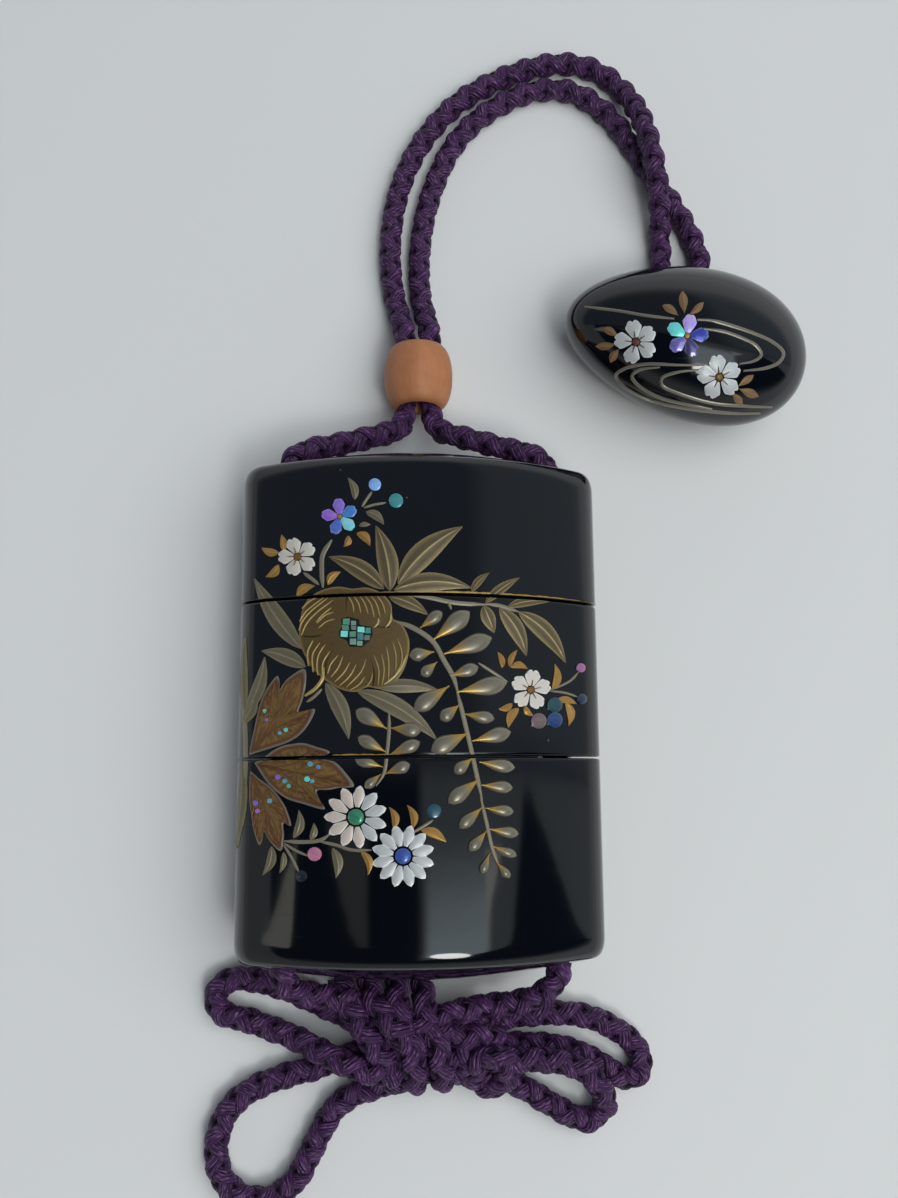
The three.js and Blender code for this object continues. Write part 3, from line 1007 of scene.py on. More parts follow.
ROUTES = {
    "cord_arc_outer": [
        [-1.6, 65.4, 6.12], [-2.05, 67.2, 6.1], [-2.6, 71, 5], [-3.3, 74.5, 3.1], [-4.1, 78.5],
        [-4.7, 84], [-4.6, 90], [-3.6, 97], [-1.2, 104.5], [2.6, 111.4], [8.2, 117.9], [14.5, 122.4],
        [21.2, 125.6], [27, 127.3], [31.8, 127.4], [36.4, 126], [40.2, 122.8, 2.4], [42.6, 118, 4.2],
        [43.9, 112, 6.6], [45.1, 106, 7.1], [46.1, 100.5, 6.3], [46.9, 95.5, 4.2], [47.2, 90.5, 2.4],
        [47.3, 86], [47.35, 82.6, 2.2], [47.4, 79.6, 2.9], [47.5, 76, 5.5], [47.6, 72.4, 8.2],
    ],
    "cord_arc_inner": [
        [2, 65.4, 6.12], [2.45, 67.2, 6.1], [2.1, 71, 5], [1.5, 74.5, 3.1], [0.9, 78.5], [0.7, 84],
        [1.1, 89.4], [2.1, 95.2], [4.3, 102.4], [7.2, 108.6], [11.4, 114], [16.6, 118.1], [22, 120.9],
        [27, 121.9], [31.1, 121.4], [35.2, 119.2], [39, 115.6], [42.3, 110.8], [45.1, 106.3],
        [47.6, 102.2], [50, 98.6], [52.1, 94.9], [53.9, 90.9], [54.9, 87], [55.1, 82.8, 2.2],
        [54.9, 79.6, 2.9], [54.3, 76, 5.5], [53.7, 72.4, 8.2],
    ],
    "cord_left": [
        [-1.6, 55.8, 6.12], [-2.1, 54, 6.1], [-2.6, 51.8, 6.5], [-3.7, 50.2, 7.3], [-6.1, 49, 8.5],
        [-10.3, 47.4, 10], [-15.6, 45.6, 11.6], [-19.2, 44.5, 12.6], [-21.7, 42.7, 12.95],
        [-22.6, 40, 12.95], [-22.6, 36, 12.95], [-22.6, 12, 12.95], [-22.6, -12, 12.95],
        [-22.6, -38, 12.95], [-22.6, -41.3, 12.95], [-21.8, -43.8, 12], [-19.2, -45.6, 10.2],
        [-15.7, -46.4, 8.9], [-12, -47.1, 8.1], [-10, -47.7, 7.8],
    ],
    "cord_right": [
        [2, 55.8, 6.12], [2.5, 54, 6.1], [3, 51.8, 6.5], [4.1, 50.2, 7.3], [6.5, 49, 8.5],
        [10.6, 47.5, 10], [15.8, 45.6, 11.6], [19.2, 44.5, 12.6], [21.7, 42.7, 12.95],
        [22.6, 40, 12.95], [22.6, 36, 12.95], [22.6, 12, 12.95], [22.6, -12, 12.95],
        [22.6, -38, 12.95], [22.6, -41.3, 12.95], [22.1, -44, 12.2], [20.4, -46.2, 10.9],
        [17.6, -47.7, 9.3], [14.5, -48.4, 8], [11, -48.8, 7.3], [9, -49, 7.1],
    ],
    "cord_bow_left": [
        [-9, -51.9, 2.6], [-11, -51.2, 2.4], [-14.8, -49.5], [-18, -48], [-21.7, -46.3],
        [-25.2, -45.2], [-28.2, -44.5], [-30.8, -44.4], [-32.9, -45.4], [-33.8, -47.5], [-32.9, -49.5],
        [-30.8, -50.5], [-28.2, -51.1], [-25, -52.3, 2.2], [-21.4, -53.5, 3], [-17.9, -54.8, 5.1],
        [-14.6, -56.2, 6.8], [-11.5, -57.6, 7.2], [-8, -58.8, 7], [-4.5, -59.5, 6.3],
    ],
    "cord_bow_lower": [
        [-7, -55.5], [-9.5, -56.3], [-14, -57.9], [-18, -59.1], [-22.6, -60.2], [-27.4, -62],
        [-30.6, -64.4], [-32.3, -67.2], [-33, -70], [-32.9, -72.9], [-31.9, -75.7], [-29.8, -77.9],
        [-27.1, -79], [-23.9, -78.9], [-21.2, -77.4], [-19.2, -75], [-17.8, -72.3], [-16.4, -69.6],
        [-14.9, -66.9], [-12.9, -64.6], [-10.2, -63.1], [-6.5, -62.1], [-2.5, -61, 2.2],
    ],
    "cord_bow_right": [
        [10.5, -51.8, 2.5], [15.3, -51.5], [20.2, -51.2], [25.4, -51.2], [30, -52.1], [33.9, -54],
        [36.6, -56], [37.9, -58.1], [38.2, -59.8], [37.4, -61.3], [35.7, -62], [33.9, -61.4],
        [31, -59.5], [27.7, -57.8], [23.8, -56.6], [19.5, -56.1], [15, -56], [11, -56, 2.4],
    ],
    "cord_bow_small": [
        [12, -57.2, 7], [16.4, -57.5, 6.9], [20.2, -57.7, 6.8], [24, -58.2, 6.9], [27.2, -59.4, 6.7],
        [30, -62.2, 5.9], [31.4, -64.8, 4.1], [31, -67.1, 2.6], [29, -68.4], [26.6, -68],
        [23.5, -66.4], [20.8, -64.8], [18, -63.1], [15, -61.6, 2.6], [12, -60.5, 3],
    ],
}

CORD_NODES = {
    "cord_left": ["cord_left_top", "cord_left_channel", "cord_left_base"],
    "cord_right": ["cord_right_top", "cord_right_channel", "cord_right_base"],
}

# Wraps of the knot and the two strands inside the bead
KNOT_WRAPS = [
    [[-9.5, -47.9, 7.6], [-6.5, -48.8, 8.2], [-3, -50.2, 8.6], [0.5, -51.6, 9], [4.5, -52.4, 8.4]],
    [[9.5, -49, 7.1], [5, -49.8, 7.9], [0, -51.2, 7.6], [-4.5, -53, 6.5], [-8.5, -54.6, 4.4]],
    [[-13, -44.9, 5], [-12.4, -46.4, 7.1], [-11.4, -48.4, 8.6], [-9.8, -51, 9], [-7.2, -54.9, 8.6],
     [-4.8, -57.8, 6.4], [-3.6, -58.8, 4]],
    [[-8.3, -44.7, 5.4], [-7.9, -46.4, 7.8], [-6.8, -48.4, 9.5], [-5.3, -50.3, 10.1], [-2.6, -53, 9.9],
     [-0.8, -55.2, 8.4], [0, -56.4, 6.6]],
    [[-3.7, -44.6, 5.2], [-3.7, -46.4, 7.8], [-3.6, -48.4, 9.1], [-3.3, -50.4, 8.6], [-2.6, -52, 7]],
    [[0.6, -45.6, 4.8], [0.7, -47.2, 7.4], [0.9, -49.2, 8.6], [0.9, -51.4, 8.4]],
    [[-1.6, -52.4, 8.4], [-1.3, -54.6, 9.6], [-1, -57.2, 9], [-0.9, -59.9, 7], [-0.8, -61.2, 4.6],
     [-0.6, -60.6, 2.7], [-0.2, -58.6, 2.2]],
    [[2.2, -52.6, 8.2], [2.8, -54.6, 9.3], [3.4, -57.2, 8.6], [3.7, -59.7, 6.8], [3.8, -60.9, 4.6],
     [3.9, -60.2, 2.7], [4, -58.4, 2.2]],
    [[9.4, -61.6, 3.4], [8.9, -59.4, 5.8], [9.4, -57.5, 7.8], [11.4, -56.4, 8.3], [13.6, -57.1, 7.9],
     [14.6, -59.2, 6.7], [13.8, -61.4, 5], [12, -62.4, 3.6], [10.4, -61.4, 2.5]],
    [[13, -51.8, 2.8], [9, -52.2, 5.2], [4.5, -53.4, 6.8], [-0.5, -55, 7], [-5.5, -56.6, 5.8],
     [-9.5, -57.4, 3.4]],
    [[13.5, -55.6, 2.4], [10, -55.2, 4], [6.5, -54.2, 5.4], [2.5, -53.4, 6]],
    [[13.6, -54.2, 5.6], [10, -53.6, 7.2], [6.4, -53.4, 7.8], [2.8, -53.2, 7.4]],
    [[-8.6, -52, 2.8], [-6.6, -53.4, 4.4], [-4.2, -55.6, 5.8], [-1.6, -57.6, 6]],
    [[-3, -61.2, 2.2], [0, -60, 3.4], [3.4, -58.2, 5.2], [7, -57.4, 6.4], [12.4, -57.3, 6.9]],
    [[13, -60.9, 2.9], [9.6, -59.4, 4], [6, -58.4, 5], [3, -58, 5]],
    [[-5, -59.4, 6.4], [-2.4, -59.4, 5.6], [1, -58.6, 5]],
    [[6.6, -60.6, 3.2], [7.2, -58.4, 5.8], [7.6, -56, 7], [8.6, -54, 6.6]],
]

BEAD_WRAPS = [
    [[-1.6, 65.8, 6.12], [-1.62, 60.5, 6.12], [-1.6, 55.4, 6.12]],
    [[2, 65.8, 6.12], [2.02, 60.5, 6.12], [2, 55.4, 6.12]],
]


def resting(point):
    """A route's point of only two numbers is where the cord lies on the surface."""
    return point if len(point) == 3 else [*point, LYING_HEIGHT]


def centripetal(points, spacing):
    """Points along a centripetal Catmull-Rom curve, at most the spacing apart."""
    points = [Vector(p) for p in points]
    ends = [2 * points[0] - points[1]] + points + [2 * points[-1] - points[-2]]
    samples = []
    for k in range(len(points) - 1):
        before, a, b, after = ends[k:k + 4]
        span = math.sqrt((b - a).length)
        span_before = math.sqrt((a - before).length)
        span_after = math.sqrt((after - b).length)
        leave = (a - before) / span_before - (b - before) / (span_before + span) + (b - a) / span
        arrive = (b - a) / span - (after - a) / (span + span_after) + (after - b) / span_after
        leave *= span
        arrive *= span
        steps = max(1, math.ceil((b - a).length / spacing))
        for i in range(steps):
            t = i / steps
            cubic = 2 * a - 2 * b + leave + arrive
            square = 3 * b - 3 * a - 2 * leave - arrive
            samples.append(a + leave * t + square * t ** 2 + cubic * t ** 3)
    samples.append(points[-1])
    return samples


def route_length(samples):
    return sum((b - a).length for a, b in zip(samples, samples[1:]))


def squeeze(point):
    """Share of the cord's full thickness, which is less in and beside the bead."""
    bead = bpy.context.scene.inro_bead
    distance = (abs(point.y - bead.y) - bead.length / 2) / MM
    t = max(0.0, min(1.0, (distance + PRESSED_PAST) / PRESSED_REACH))
    return PRESSED_SHARE + (1 - PRESSED_SHARE) * t * t * (3 - 2 * t)


def leans(samples):
    """The cord's own upward direction: vertical, but carried on smoothly where the cord stands upright."""
    lean = Vector((0, 0, 1))
    found = []
    for i in range(len(samples)):
        ahead = (samples[min(i + 1, len(samples) - 1)] - samples[max(i - 1, 0)]).normalized()
        lean = (lean - ahead * lean.dot(ahead)).normalized()
        upright = Vector((0, 0, 1)) - ahead * ahead.z
        if upright.dot(lean) < 0:
            upright.negate()
        lean = (lean + upright * 0.5).normalized()
        found.append(lean)
    return found


STRAND_SIDES = 10
# How far the thread pattern of one strand is shifted from the next one's
THREAD_SHIFT = 0.37
GROUND_GAP = 0.02 * MM
BRAID_SIZES = {
    "Pitch": "pitch",
    "Strand width": "strand_width",
    "Strand thickness": "strand_thickness",
    "Strand offset": "strand_offset",
    "Crossing": "crossing",
    "Step": "step",
}


def braid_tree():
    """Geometry nodes for a round braid: two strands wind one way and two the other."""
    tree = bpy.data.node_groups.new("Round braid", "GeometryNodeTree")
    tree.interface.new_socket("Geometry", in_out="INPUT", socket_type="NodeSocketGeometry")
    for name in BRAID_SIZES:
        tree.interface.new_socket(name, in_out="INPUT", socket_type="NodeSocketFloat")
    tree.interface.new_socket("Silk", in_out="INPUT", socket_type="NodeSocketMaterial")
    tree.interface.new_socket("Geometry", in_out="OUTPUT", socket_type="NodeSocketGeometry")
    maker = NodeMaker(tree)
    sizes = maker.node("NodeGroupInput")

    thick = maker.node("GeometryNodeInputNamedAttribute", {"data_type": "FLOAT"}, {"Name": "thick"})
    normal = maker.node("GeometryNodeInputNamedAttribute", {"data_type": "FLOAT_VECTOR"}, {"Name": "lean"})
    path = maker.node("GeometryNodeMeshToCurve", None, {"Mesh": sizes.of("Geometry")})
    path = maker.node(
        "GeometryNodeResampleCurve", {"mode": "LENGTH"}, {"Curve": path, "Length": sizes.of("Step")}
    )
    tangent = maker.node("GeometryNodeInputTangent")
    run = maker.node("GeometryNodeSplineParameter").of("Length")
    kept = tree.nodes.new("GeometryNodeCaptureAttribute")
    kept.domain = "POINT"
    fields = {
        "Out": ("VECTOR", normal), "Side": ("VECTOR", tangent.cross(normal)),
        "Run": ("FLOAT", run), "Thick": ("FLOAT", thick),
    }
    tree.links.new(path.socket, kept.inputs["Geometry"])
    for name, (kind, field) in fields.items():
        kept.capture_items.new(kind, name)
        tree.links.new(field.socket, kept.inputs[name])
    path = Term(maker, kept.outputs["Geometry"])
    out, side, run, thick = (path.of(name) for name in fields)

    profile = maker.node(
        "GeometryNodeCurvePrimitiveCircle", None, {"Resolution": STRAND_SIDES, "Radius": 1.0}
    )
    around = maker.node("GeometryNodeInputPosition")
    profile = maker.node("GeometryNodeStoreNamedAttribute", {"data_type": "FLOAT_VECTOR"}, {
        "Geometry": profile.of("Curve"), "Name": "across", "Value": around,
    })
    section = maker.combine(
        sizes.of("Strand thickness") * 0.5, sizes.of("Strand width") * 0.5, 1.0
    )
    profile = maker.node("GeometryNodeTransform", None, {"Geometry": profile, "Scale": section})

    joined = tree.nodes.new("GeometryNodeJoinGeometry")
    turns = run * (2 * math.pi) / sizes.of("Pitch")
    swell = (turns * 2.0).cosine()
    for number in range(4):
        way = 1 if number < 2 else -1
        angle = turns * way + math.pi * (number % 2 + 0.25)
        outward_way = out.scaled(angle.cosine()).plus(side.scaled(angle.sine()))
        offset = (sizes.of("Strand offset") + sizes.of("Crossing") * swell * way) * thick
        strand = maker.node("GeometryNodeSetPosition", None, {
            "Geometry": path, "Offset": outward_way.scaled(offset),
        })
        strand = maker.node(
            "GeometryNodeSetCurveNormal", {"mode": "FREE"}, {"Curve": strand, "Normal": outward_way}
        )
        strand = maker.node("GeometryNodeStoreNamedAttribute", {"data_type": "FLOAT"}, {
            "Geometry": strand, "Name": "run", "Value": run + THREAD_SHIFT * number,
        })
        strand = maker.node("GeometryNodeCurveToMesh", None, {
            "Curve": strand, "Profile Curve": profile, "Scale": thick, "Fill Caps": True,
        })
        tree.links.new(strand.socket, joined.inputs[0])
    braid = Term(maker, joined.outputs[0])
    here = maker.node("GeometryNodeInputPosition")
    parts = maker.separate(here)
    grounded = maker.combine(parts.of("X"), parts.of("Y"), parts.of("Z").highest(GROUND_GAP))
    braid = maker.node("GeometryNodeSetPosition", None, {"Geometry": braid, "Position": grounded})
    braid = maker.node("GeometryNodeSetShadeSmooth", None, {"Geometry": braid})
    braid = maker.node("GeometryNodeRealizeInstances", None, {"Geometry": braid})
    braid = maker.node("GeometryNodeSetMaterial", None, {"Geometry": braid, "Material": sizes.of("Silk")})
    result = tree.nodes.new("NodeGroupOutput")
    tree.links.new(braid.socket, result.inputs["Geometry"])
    return tree


def braided(name, routes):
    """One mesh of round braid along each of the routes, with the routes' sampled points."""
    points = []
    edges = []
    thick = []
    sampled = []
    lean = []
    for route in routes:
        samples = [p * MM for p in centripetal([resting(p) for p in route], ROUTE_SPACING)]
        first = len(points)
        points += samples
        edges += [(first + i, first + i + 1) for i in range(len(samples) - 1)]
        thick += [squeeze(p) for p in samples]
        lean += [part for way in leans(samples) for part in way]
        sampled.append(samples)
    mesh = bpy.data.meshes.new(name)
    mesh.from_pydata([tuple(p) for p in points], edges, [])
    mesh.attributes.new("thick", "FLOAT", "POINT").data.foreach_set("value", thick)
    mesh.attributes.new("lean", "FLOAT_VECTOR", "POINT").data.foreach_set("vector", lean)
    made = add_object(name, mesh)
    tree = finish_of("braid tree", braid_tree)
    braid = made.modifiers.new("braid", "NODES")
    braid.node_group = tree
    sizes = bpy.context.scene.inro_cord
    for item in tree.interface.items_tree:
        if item.in_out == "INPUT" and item.name in BRAID_SIZES:
            braid[item.identifier] = getattr(sizes, BRAID_SIZES[item.name])
        elif item.in_out == "INPUT" and item.name == "Silk":
            braid[item.identifier] = silk()
    made = bake_modifiers(made)
    if len(made.data.polygons) == 0:
        raise RuntimeError(f"{name}: the braid has no faces")
    return made, sampled


def build_cords(with_pieces):
    diameter = bpy.context.scene.inro_cord.diameter
    for name, route in ROUTES.items():
        made, (samples,) = braided(f"{name}_braid", [route])
        dress(made, silk(), "cord_silk", *CORD_NODES.get(name, [name]))
        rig.cord(
            made, exit=samples[0], length=route_length(samples), diameter=diameter,
            far_end="object", stiffness="limp", lay="loose", path=samples,
            with_pieces=with_pieces if name == "cord_left" else (),
        )


# Where the photograph's pixels meet the object

IMAGE_MIDDLE = (449, 599)
IMAGE_LONG_SIDE = 1198
SENSOR = 36.0
SLOPE_STEP = 0.05 * MM
FIRST_HEIGHT = 13 * MM
RAY_ROUNDS = 8


def camera_matrix():
    setup = bpy.context.scene.inro_camera
    turned = (
        Matrix.Rotation(setup.yaw, 4, "Y")
        @ Matrix.Rotation(setup.pitch, 4, "X")
        @ Matrix.Rotation(setup.roll, 4, "Z")
    )
    return Matrix.Translation((setup.x, setup.y, setup.z)) @ turned


class Canvas:
    """Turns drawing coordinates into points on a curved surface."""

    def __init__(self, height, to_plane):
        self.height = height
        self.to_plane = to_plane

    def point(self, drawn, lift):
        x, y = self.to_plane(self, drawn)
        step = SLOPE_STEP
        slope_x = (self.height(x + step, y) - self.height(x - step, y)) / (2 * step)
        slope_y = (self.height(x, y + step) - self.height(x, y - step)) / (2 * step)
        normal = Vector((-slope_x, -slope_y, 1)).normalized()
        return Vector((x, y, self.height(x, y))) + normal * lift


def pixel_to_plane(limit):
    """Follows the camera's ray through a pixel to the surface; limit keeps x on the case."""
    camera = camera_matrix()
    eye = camera.translation
    focal = bpy.context.scene.inro_camera.lens / SENSOR * IMAGE_LONG_SIDE

    def to_plane(canvas, pixel):
        u, v = pixel
        ray = Vector(((u - IMAGE_MIDDLE[0]) / focal, (IMAGE_MIDDLE[1] - v) / focal, -1))
        ray = camera.to_3x3() @ ray
        z = FIRST_HEIGHT
        for _ in range(RAY_ROUNDS):
            hit = eye + ray * ((z - eye.z) / ray.z)
            x = max(-limit, min(limit, hit.x))
            z = 0.5 * z + 0.5 * canvas.height(x, hit.y)
        return x, hit.y

    return to_plane


def in_millimetres(canvas, drawn):
    return drawn[0] * MM, drawn[1] * MM


# Colours of the picture's parts

def tone(red, green, blue):
    """Linear colour from display values of 0 to 255."""
    return tuple(((value / 255 + 0.055) / 1.055) ** 2.4 for value in (red, green, blue))


def blend(a, b, amount):
    return tuple(p + (q - p) * amount for p, q in zip(a, b))


Palette = namedtuple("Palette", "fill rib edge")
DULL_GOLD = Palette(fill=tone(106, 94, 71), rib=tone(208, 190, 138), edge=tone(166, 149, 106))
BRIGHT_GOLD = Palette(fill=tone(178, 136, 72), rib=tone(205, 166, 98), edge=tone(186, 148, 84))
GREY_GOLD = Palette(fill=tone(124, 117, 96), rib=tone(172, 164, 132), edge=tone(152, 144, 114))
OLIVE = Palette(fill=tone(112, 95, 60), rib=tone(196, 172, 112), edge=tone(164, 142, 90))
RUSSET = Palette(fill=tone(138, 110, 66), rib=tone(122, 84, 58), edge=tone(138, 131, 116))
UMBER_GOLD = Palette(fill=tone(146, 116, 82), rib=tone(170, 138, 100), edge=tone(140, 112, 80))
OCHRE = tone(160, 126, 72)
BARK = tone(104, 70, 44)
GROOVE = tone(62, 50, 32)
GROOVE_BLACK = tone(10, 16, 16)
STEM_GREY = tone(150, 143, 122)
PEARL_WHITE = tone(192, 188, 179)
CREAM = tone(204, 192, 179)
SILVER_PETAL = tone(182, 187, 187)
DAISY_EDGE = tone(226, 227, 223)
WATER_SILVER = tone(136, 131, 118)
BUD_SILVER = tone(142, 136, 118)
BUD_GOLD = tone(190, 156, 80)
HEART_GOLD = tone(150, 110, 60)
GREEN_CENTRE = tone(60, 128, 92)
BLUE_CENTRE = tone(66, 84, 150)

# Steps and sections of the picture's parts
# A mark runs from -1 at one edge to 1 at the other, and lifts and crowns are in millimetres

LEAF_STEPS = 11
# Each mark with its share of the edge's colour; the midrib has its own colour instead
LEAF_MARKS = (
    (-1, 1), (-0.84, 0.55), (-0.5, 0), (-0.13, 0.1), (0, None), (0.13, 0.1), (0.5, 0), (0.84, 0.55), (1, 1),
)
LEAF_CROWN = 0.16
MIDRIB_RISE = 0.07
LEAF_END_SHARE = 0.05
LEAF_FULLNESS = 0.85
LINE_SPACING = 4.0
LINE_MARKS = (-1, -0.55, 0, 0.55, 1)
LINE_CROWN = 0.12
PETAL_STEPS = 6
PETAL_MARKS = (-1, -0.75, -0.5, -0.25, 0, 0.25, 0.5, 0.75, 1)
PETAL_CROWN = 0.14
PETAL_FOOT_SHARE = 0.3
PETAL_WIDEST = 0.8
PETAL_NOTCH_WIDTH = 0.2
PETAL_CORNER_CUT = 0.34
DISC_SIDES = 14
DISC_RINGS = (1.0, 0.85, 0.6, 0.3, 0.08)
BUD_STEPS = 12
BUD_MARKS = (-1, -0.8, -0.5, -0.2, 0.2, 0.5, 0.8, 1)
BUD_CROWN = 0.62
BUD_FOOT_SHARE = 0.09
# Share of its length past which a bud is silver, and the share in which it turns from gold
BUD_SILVER_FROM = 0.52
BUD_CHANGE = 0.3
BUD_LIFT = 0.12
LOBE_SPACING = 3.0
LOBE_SIDE_VEINS = (0.5, 0.66, 0.8)
VEIN = {"lift": 0.2, "taper": 0.5}
# Rings of a lobed leaf from its rim inwards: share of its size, colour and lift; the field is mottled
LEAF_BANDS = (
    (1.0, RUSSET.edge, 0.06), (0.95, RUSSET.edge, 0.18), (0.91, RUSSET.rib, 0.1), (0.84, RUSSET.rib, 0.12),
    (0.8, None, 0.16), (0.66, None, 0.18), (0.5, None, 0.2), (0.34, None, 0.2), (0.18, None, 0.2),
    (0.05, None, 0.2),
)
PICTURE_CRISP_ANGLE = 55


def across(along):
    """Direction at a right angle to another one in the drawing."""
    return Vector((-along.y, along.x))


def pointing(degrees):
    """Unit direction in the drawing, counted anticlockwise from its right."""
    return Vector((math.cos(math.radians(degrees)), -math.sin(math.radians(degrees))))


def stroke(base, tip):
    """Base, way to the tip and unit direction across it."""
    along = Vector(tip) - Vector(base)
    return Vector(base), along, across(along).normalized()


class Picture:
    """Collects thin raised patches on one surface, by finish."""

    def __init__(self, canvas):
        self.canvas = canvas
        self.layers = {}

    def patch(self, finish, rows, ring=False):
        """Adds a closed thin body; a row holds (place, lift in mm, colour), and ring joins its ends."""
        points, colours, faces = self.layers.setdefault(finish, ([], [], []))
        sizes = bpy.context.scene.inro_picture
        count = len(rows[0])
        size = count * len(rows)
        first = len(points)
        for layer in (0, 1):
            for row in rows:
                for place, lift, shade in row:
                    above = sizes.lift + lift * MM if layer == 0 else -sizes.sink
                    points.append(self.canvas.point(place, above))
                    colours.append(shade)

        def at(layer, row, column):
            return first + layer * size + row * count + column % count

        last = len(rows) - 1
        columns = count if ring else count - 1
        for layer in (0, 1):
            for r in range(last):
                for c in range(columns):
                    near = (at(layer, r, c), at(layer, r, c + 1))
                    face = near + (at(layer, r + 1, c + 1), at(layer, r + 1, c))
                    faces.append(face if layer == 0 else face[::-1])
            if ring:
                faces.append(tuple(at(layer, last, c) for c in range(count)))
        for c in range(columns):
            faces.append((at(0, 0, c), at(1, 0, c), at(1, 0, c + 1), at(0, 0, c + 1)))
            if not ring:
                faces.append((at(0, last, c), at(0, last, c + 1), at(1, last, c + 1), at(1, last, c)))
        if not ring:
            end = columns
            for r in range(last):
                faces.append((at(0, r, 0), at(0, r + 1, 0), at(1, r + 1, 0), at(1, r, 0)))
                faces.append((at(0, r, end), at(1, r, end), at(1, r + 1, end), at(0, r + 1, end)))

    def leaf(self, base, tip, width, bend, palette, lift=0.05, full=0.42):
        """Pointed leaf with a bright midrib; bend pushes its middle sideways, full is its widest place."""
        base, along, side = stroke(base, tip)
        rows = []
        for i in range(LEAF_STEPS + 1):
            t = i / LEAF_STEPS
            swell = math.sin(math.pi * t ** (math.log(0.5) / math.log(full)))
            half = width / 2 * max(LEAF_END_SHARE, swell ** LEAF_FULLNESS)
            middle = base + along * t + side * bend * 4 * t * (1 - t)
            row = []
            for mark, edge_share in LEAF_MARKS:
                crown = LEAF_CROWN * (1 - abs(mark) ** 2) * swell
                if edge_share is None:
                    crown += MIDRIB_RISE
                    paint = palette.rib
                else:
                    paint = blend(palette.fill, palette.edge, edge_share)
                row.append((middle + side * half * mark, lift + crown, paint))
            rows.append(row)
        self.patch("gold", rows)

    def line(self, points, width, shade, finish="gold", lift=0.0, taper=0.35, wave=0.0):
        """Rounded line along a smooth route; taper is its ends' width, and wave makes it uneven."""
        route = centripetal(points, LINE_SPACING)
        last = len(route) - 1
        rows = []
        for i, here in enumerate(route):
            side = across(route[min(last, i + 1)] - route[max(0, i - 1)]).normalized()
            inwards = min(i, last - i) / max(1, last) * 2
            half = width / 2 * (taper + (1 - taper) * min(1.0, inwards * 3))
            half *= 1 + wave * math.sin(i * 2.1) * math.sin(i * 0.7)
            row = []
            for mark in LINE_MARKS:
                row.append((here + side * half * mark, lift + LINE_CROWN * (1 - mark ** 2), shade))
            rows.append(row)
        self.patch(finish, rows)

    def petal(self, centre, angle, inner, outer, width, shade, finish, notch=0.14, lift=0.1, edge=None):
        """Petal that points away from a centre, with a notch in its tip."""
        out = pointing(angle)
        side = across(out)
        edge = edge or blend(shade, WHITE, 0.25)
        rows = []
        for i in range(PETAL_STEPS + 1):
            s = i / PETAL_STEPS
            swell = math.sin(math.pi / 2 * min(1.0, s / PETAL_WIDEST))
            half = width / 2 * (PETAL_FOOT_SHARE + (1 - PETAL_FOOT_SHARE) * swell)
            row = []
            for mark in PETAL_MARKS:
                cut = notch * math.exp(-((mark / PETAL_NOTCH_WIDTH) ** 2))
                cut += PETAL_CORNER_CUT * abs(mark) ** 3
                reach = inner + (outer - inner) * s * (1 - cut * s ** 2)
                crown = PETAL_CROWN * (1 - mark ** 2) * (1 - (2 * s - 1) ** 4)
                paint = edge if abs(mark) > 0.9 or s > 0.95 else shade
                place = Vector(centre) + out * reach + side * half * mark * (1 - 0.12 * s ** 4)
                row.append((place, lift + crown, paint))
            rows.append(row)
        self.patch(finish, rows)

    def disc(self, centre, radius, shade, finish, lift=0.1, crown=0.25):
        """Round raised dot."""
        rows = []
        for s in DISC_RINGS:
            rise = lift + crown * math.sqrt(1 - s ** 2)
            ring = [Vector(centre) + Vector(place) * radius * s for place in circle(DISC_SIDES)]
            rows.append([(place, rise, shade) for place in ring])
        self.patch(finish, rows, ring=True)

    def blossom(self, centre, radius, angles, shade, finish, heart=HEART_GOLD, lift=0.12):
        """Five notched petals round a small golden heart with fine stamens."""
        for angle in angles:
            self.petal(centre, angle, radius * 0.2, radius, radius * 0.78, shade, finish, lift=lift)
            stamen = [Vector(centre) + pointing(angle) * radius * reach for reach in (0.12, 0.48)]
            self.line(stamen, radius * 0.05, heart, lift=lift + 0.17, taper=0.6)
        self.disc(centre, radius * 0.17, heart, "gold", lift=lift, crown=0.15)

    def shell_blossom(self, centre, radius, petals):
        """Five smooth petals of shell, each with its own colour."""
        for angle, shade in petals:
            self.petal(
                centre, angle, radius * 0.16, radius * 1.08, radius * 0.74, shade, "shell",
                notch=0.05, lift=0.06, edge=blend(shade, WHITE, 0.12),
            )
        self.disc(centre, radius * 0.14, BRIGHT_GOLD.edge, "gold", lift=0.1, crown=0.12)

    def daisy(self, centre, outer, inner, count, shade_of, heart):
        """Many pointed petals round a heart of shell."""
        for k in range(count):
            angle = 360 * (k + 0.5) / count
            self.petal(
                centre, angle, inner, outer, outer * 0.4, shade_of(angle), "petal", notch=-0.06, lift=0.12,
                edge=DAISY_EDGE,
            )
        self.disc(centre, inner * 0.82, heart, "shell", lift=0.14, crown=0.3)

    def bud(self, base, tip, width):
        """Raised silver bud that narrows to a golden foot."""
        base, along, side = stroke(base, tip)
        rows = []
        for i in range(BUD_STEPS + 1):
            t = i / BUD_STEPS
            swell = math.sin(math.pi * t ** 1.8) ** 0.7 if 0 < i < BUD_STEPS else 0.0
            half = width / 2 * max(BUD_FOOT_SHARE, swell)
            gold = max(0.0, min(1.0, (BUD_SILVER_FROM - t) / BUD_CHANGE))
            shade = blend(BUD_SILVER, BUD_GOLD, gold)
            row = []
            for mark in BUD_MARKS:
                rise = BUD_CROWN * math.sqrt(max(0.0, 1 - mark ** 2)) * swell
                row.append((base + along * t + side * half * mark, BUD_LIFT + rise, shade))
            rows.append(row)
        self.patch("silver", rows)

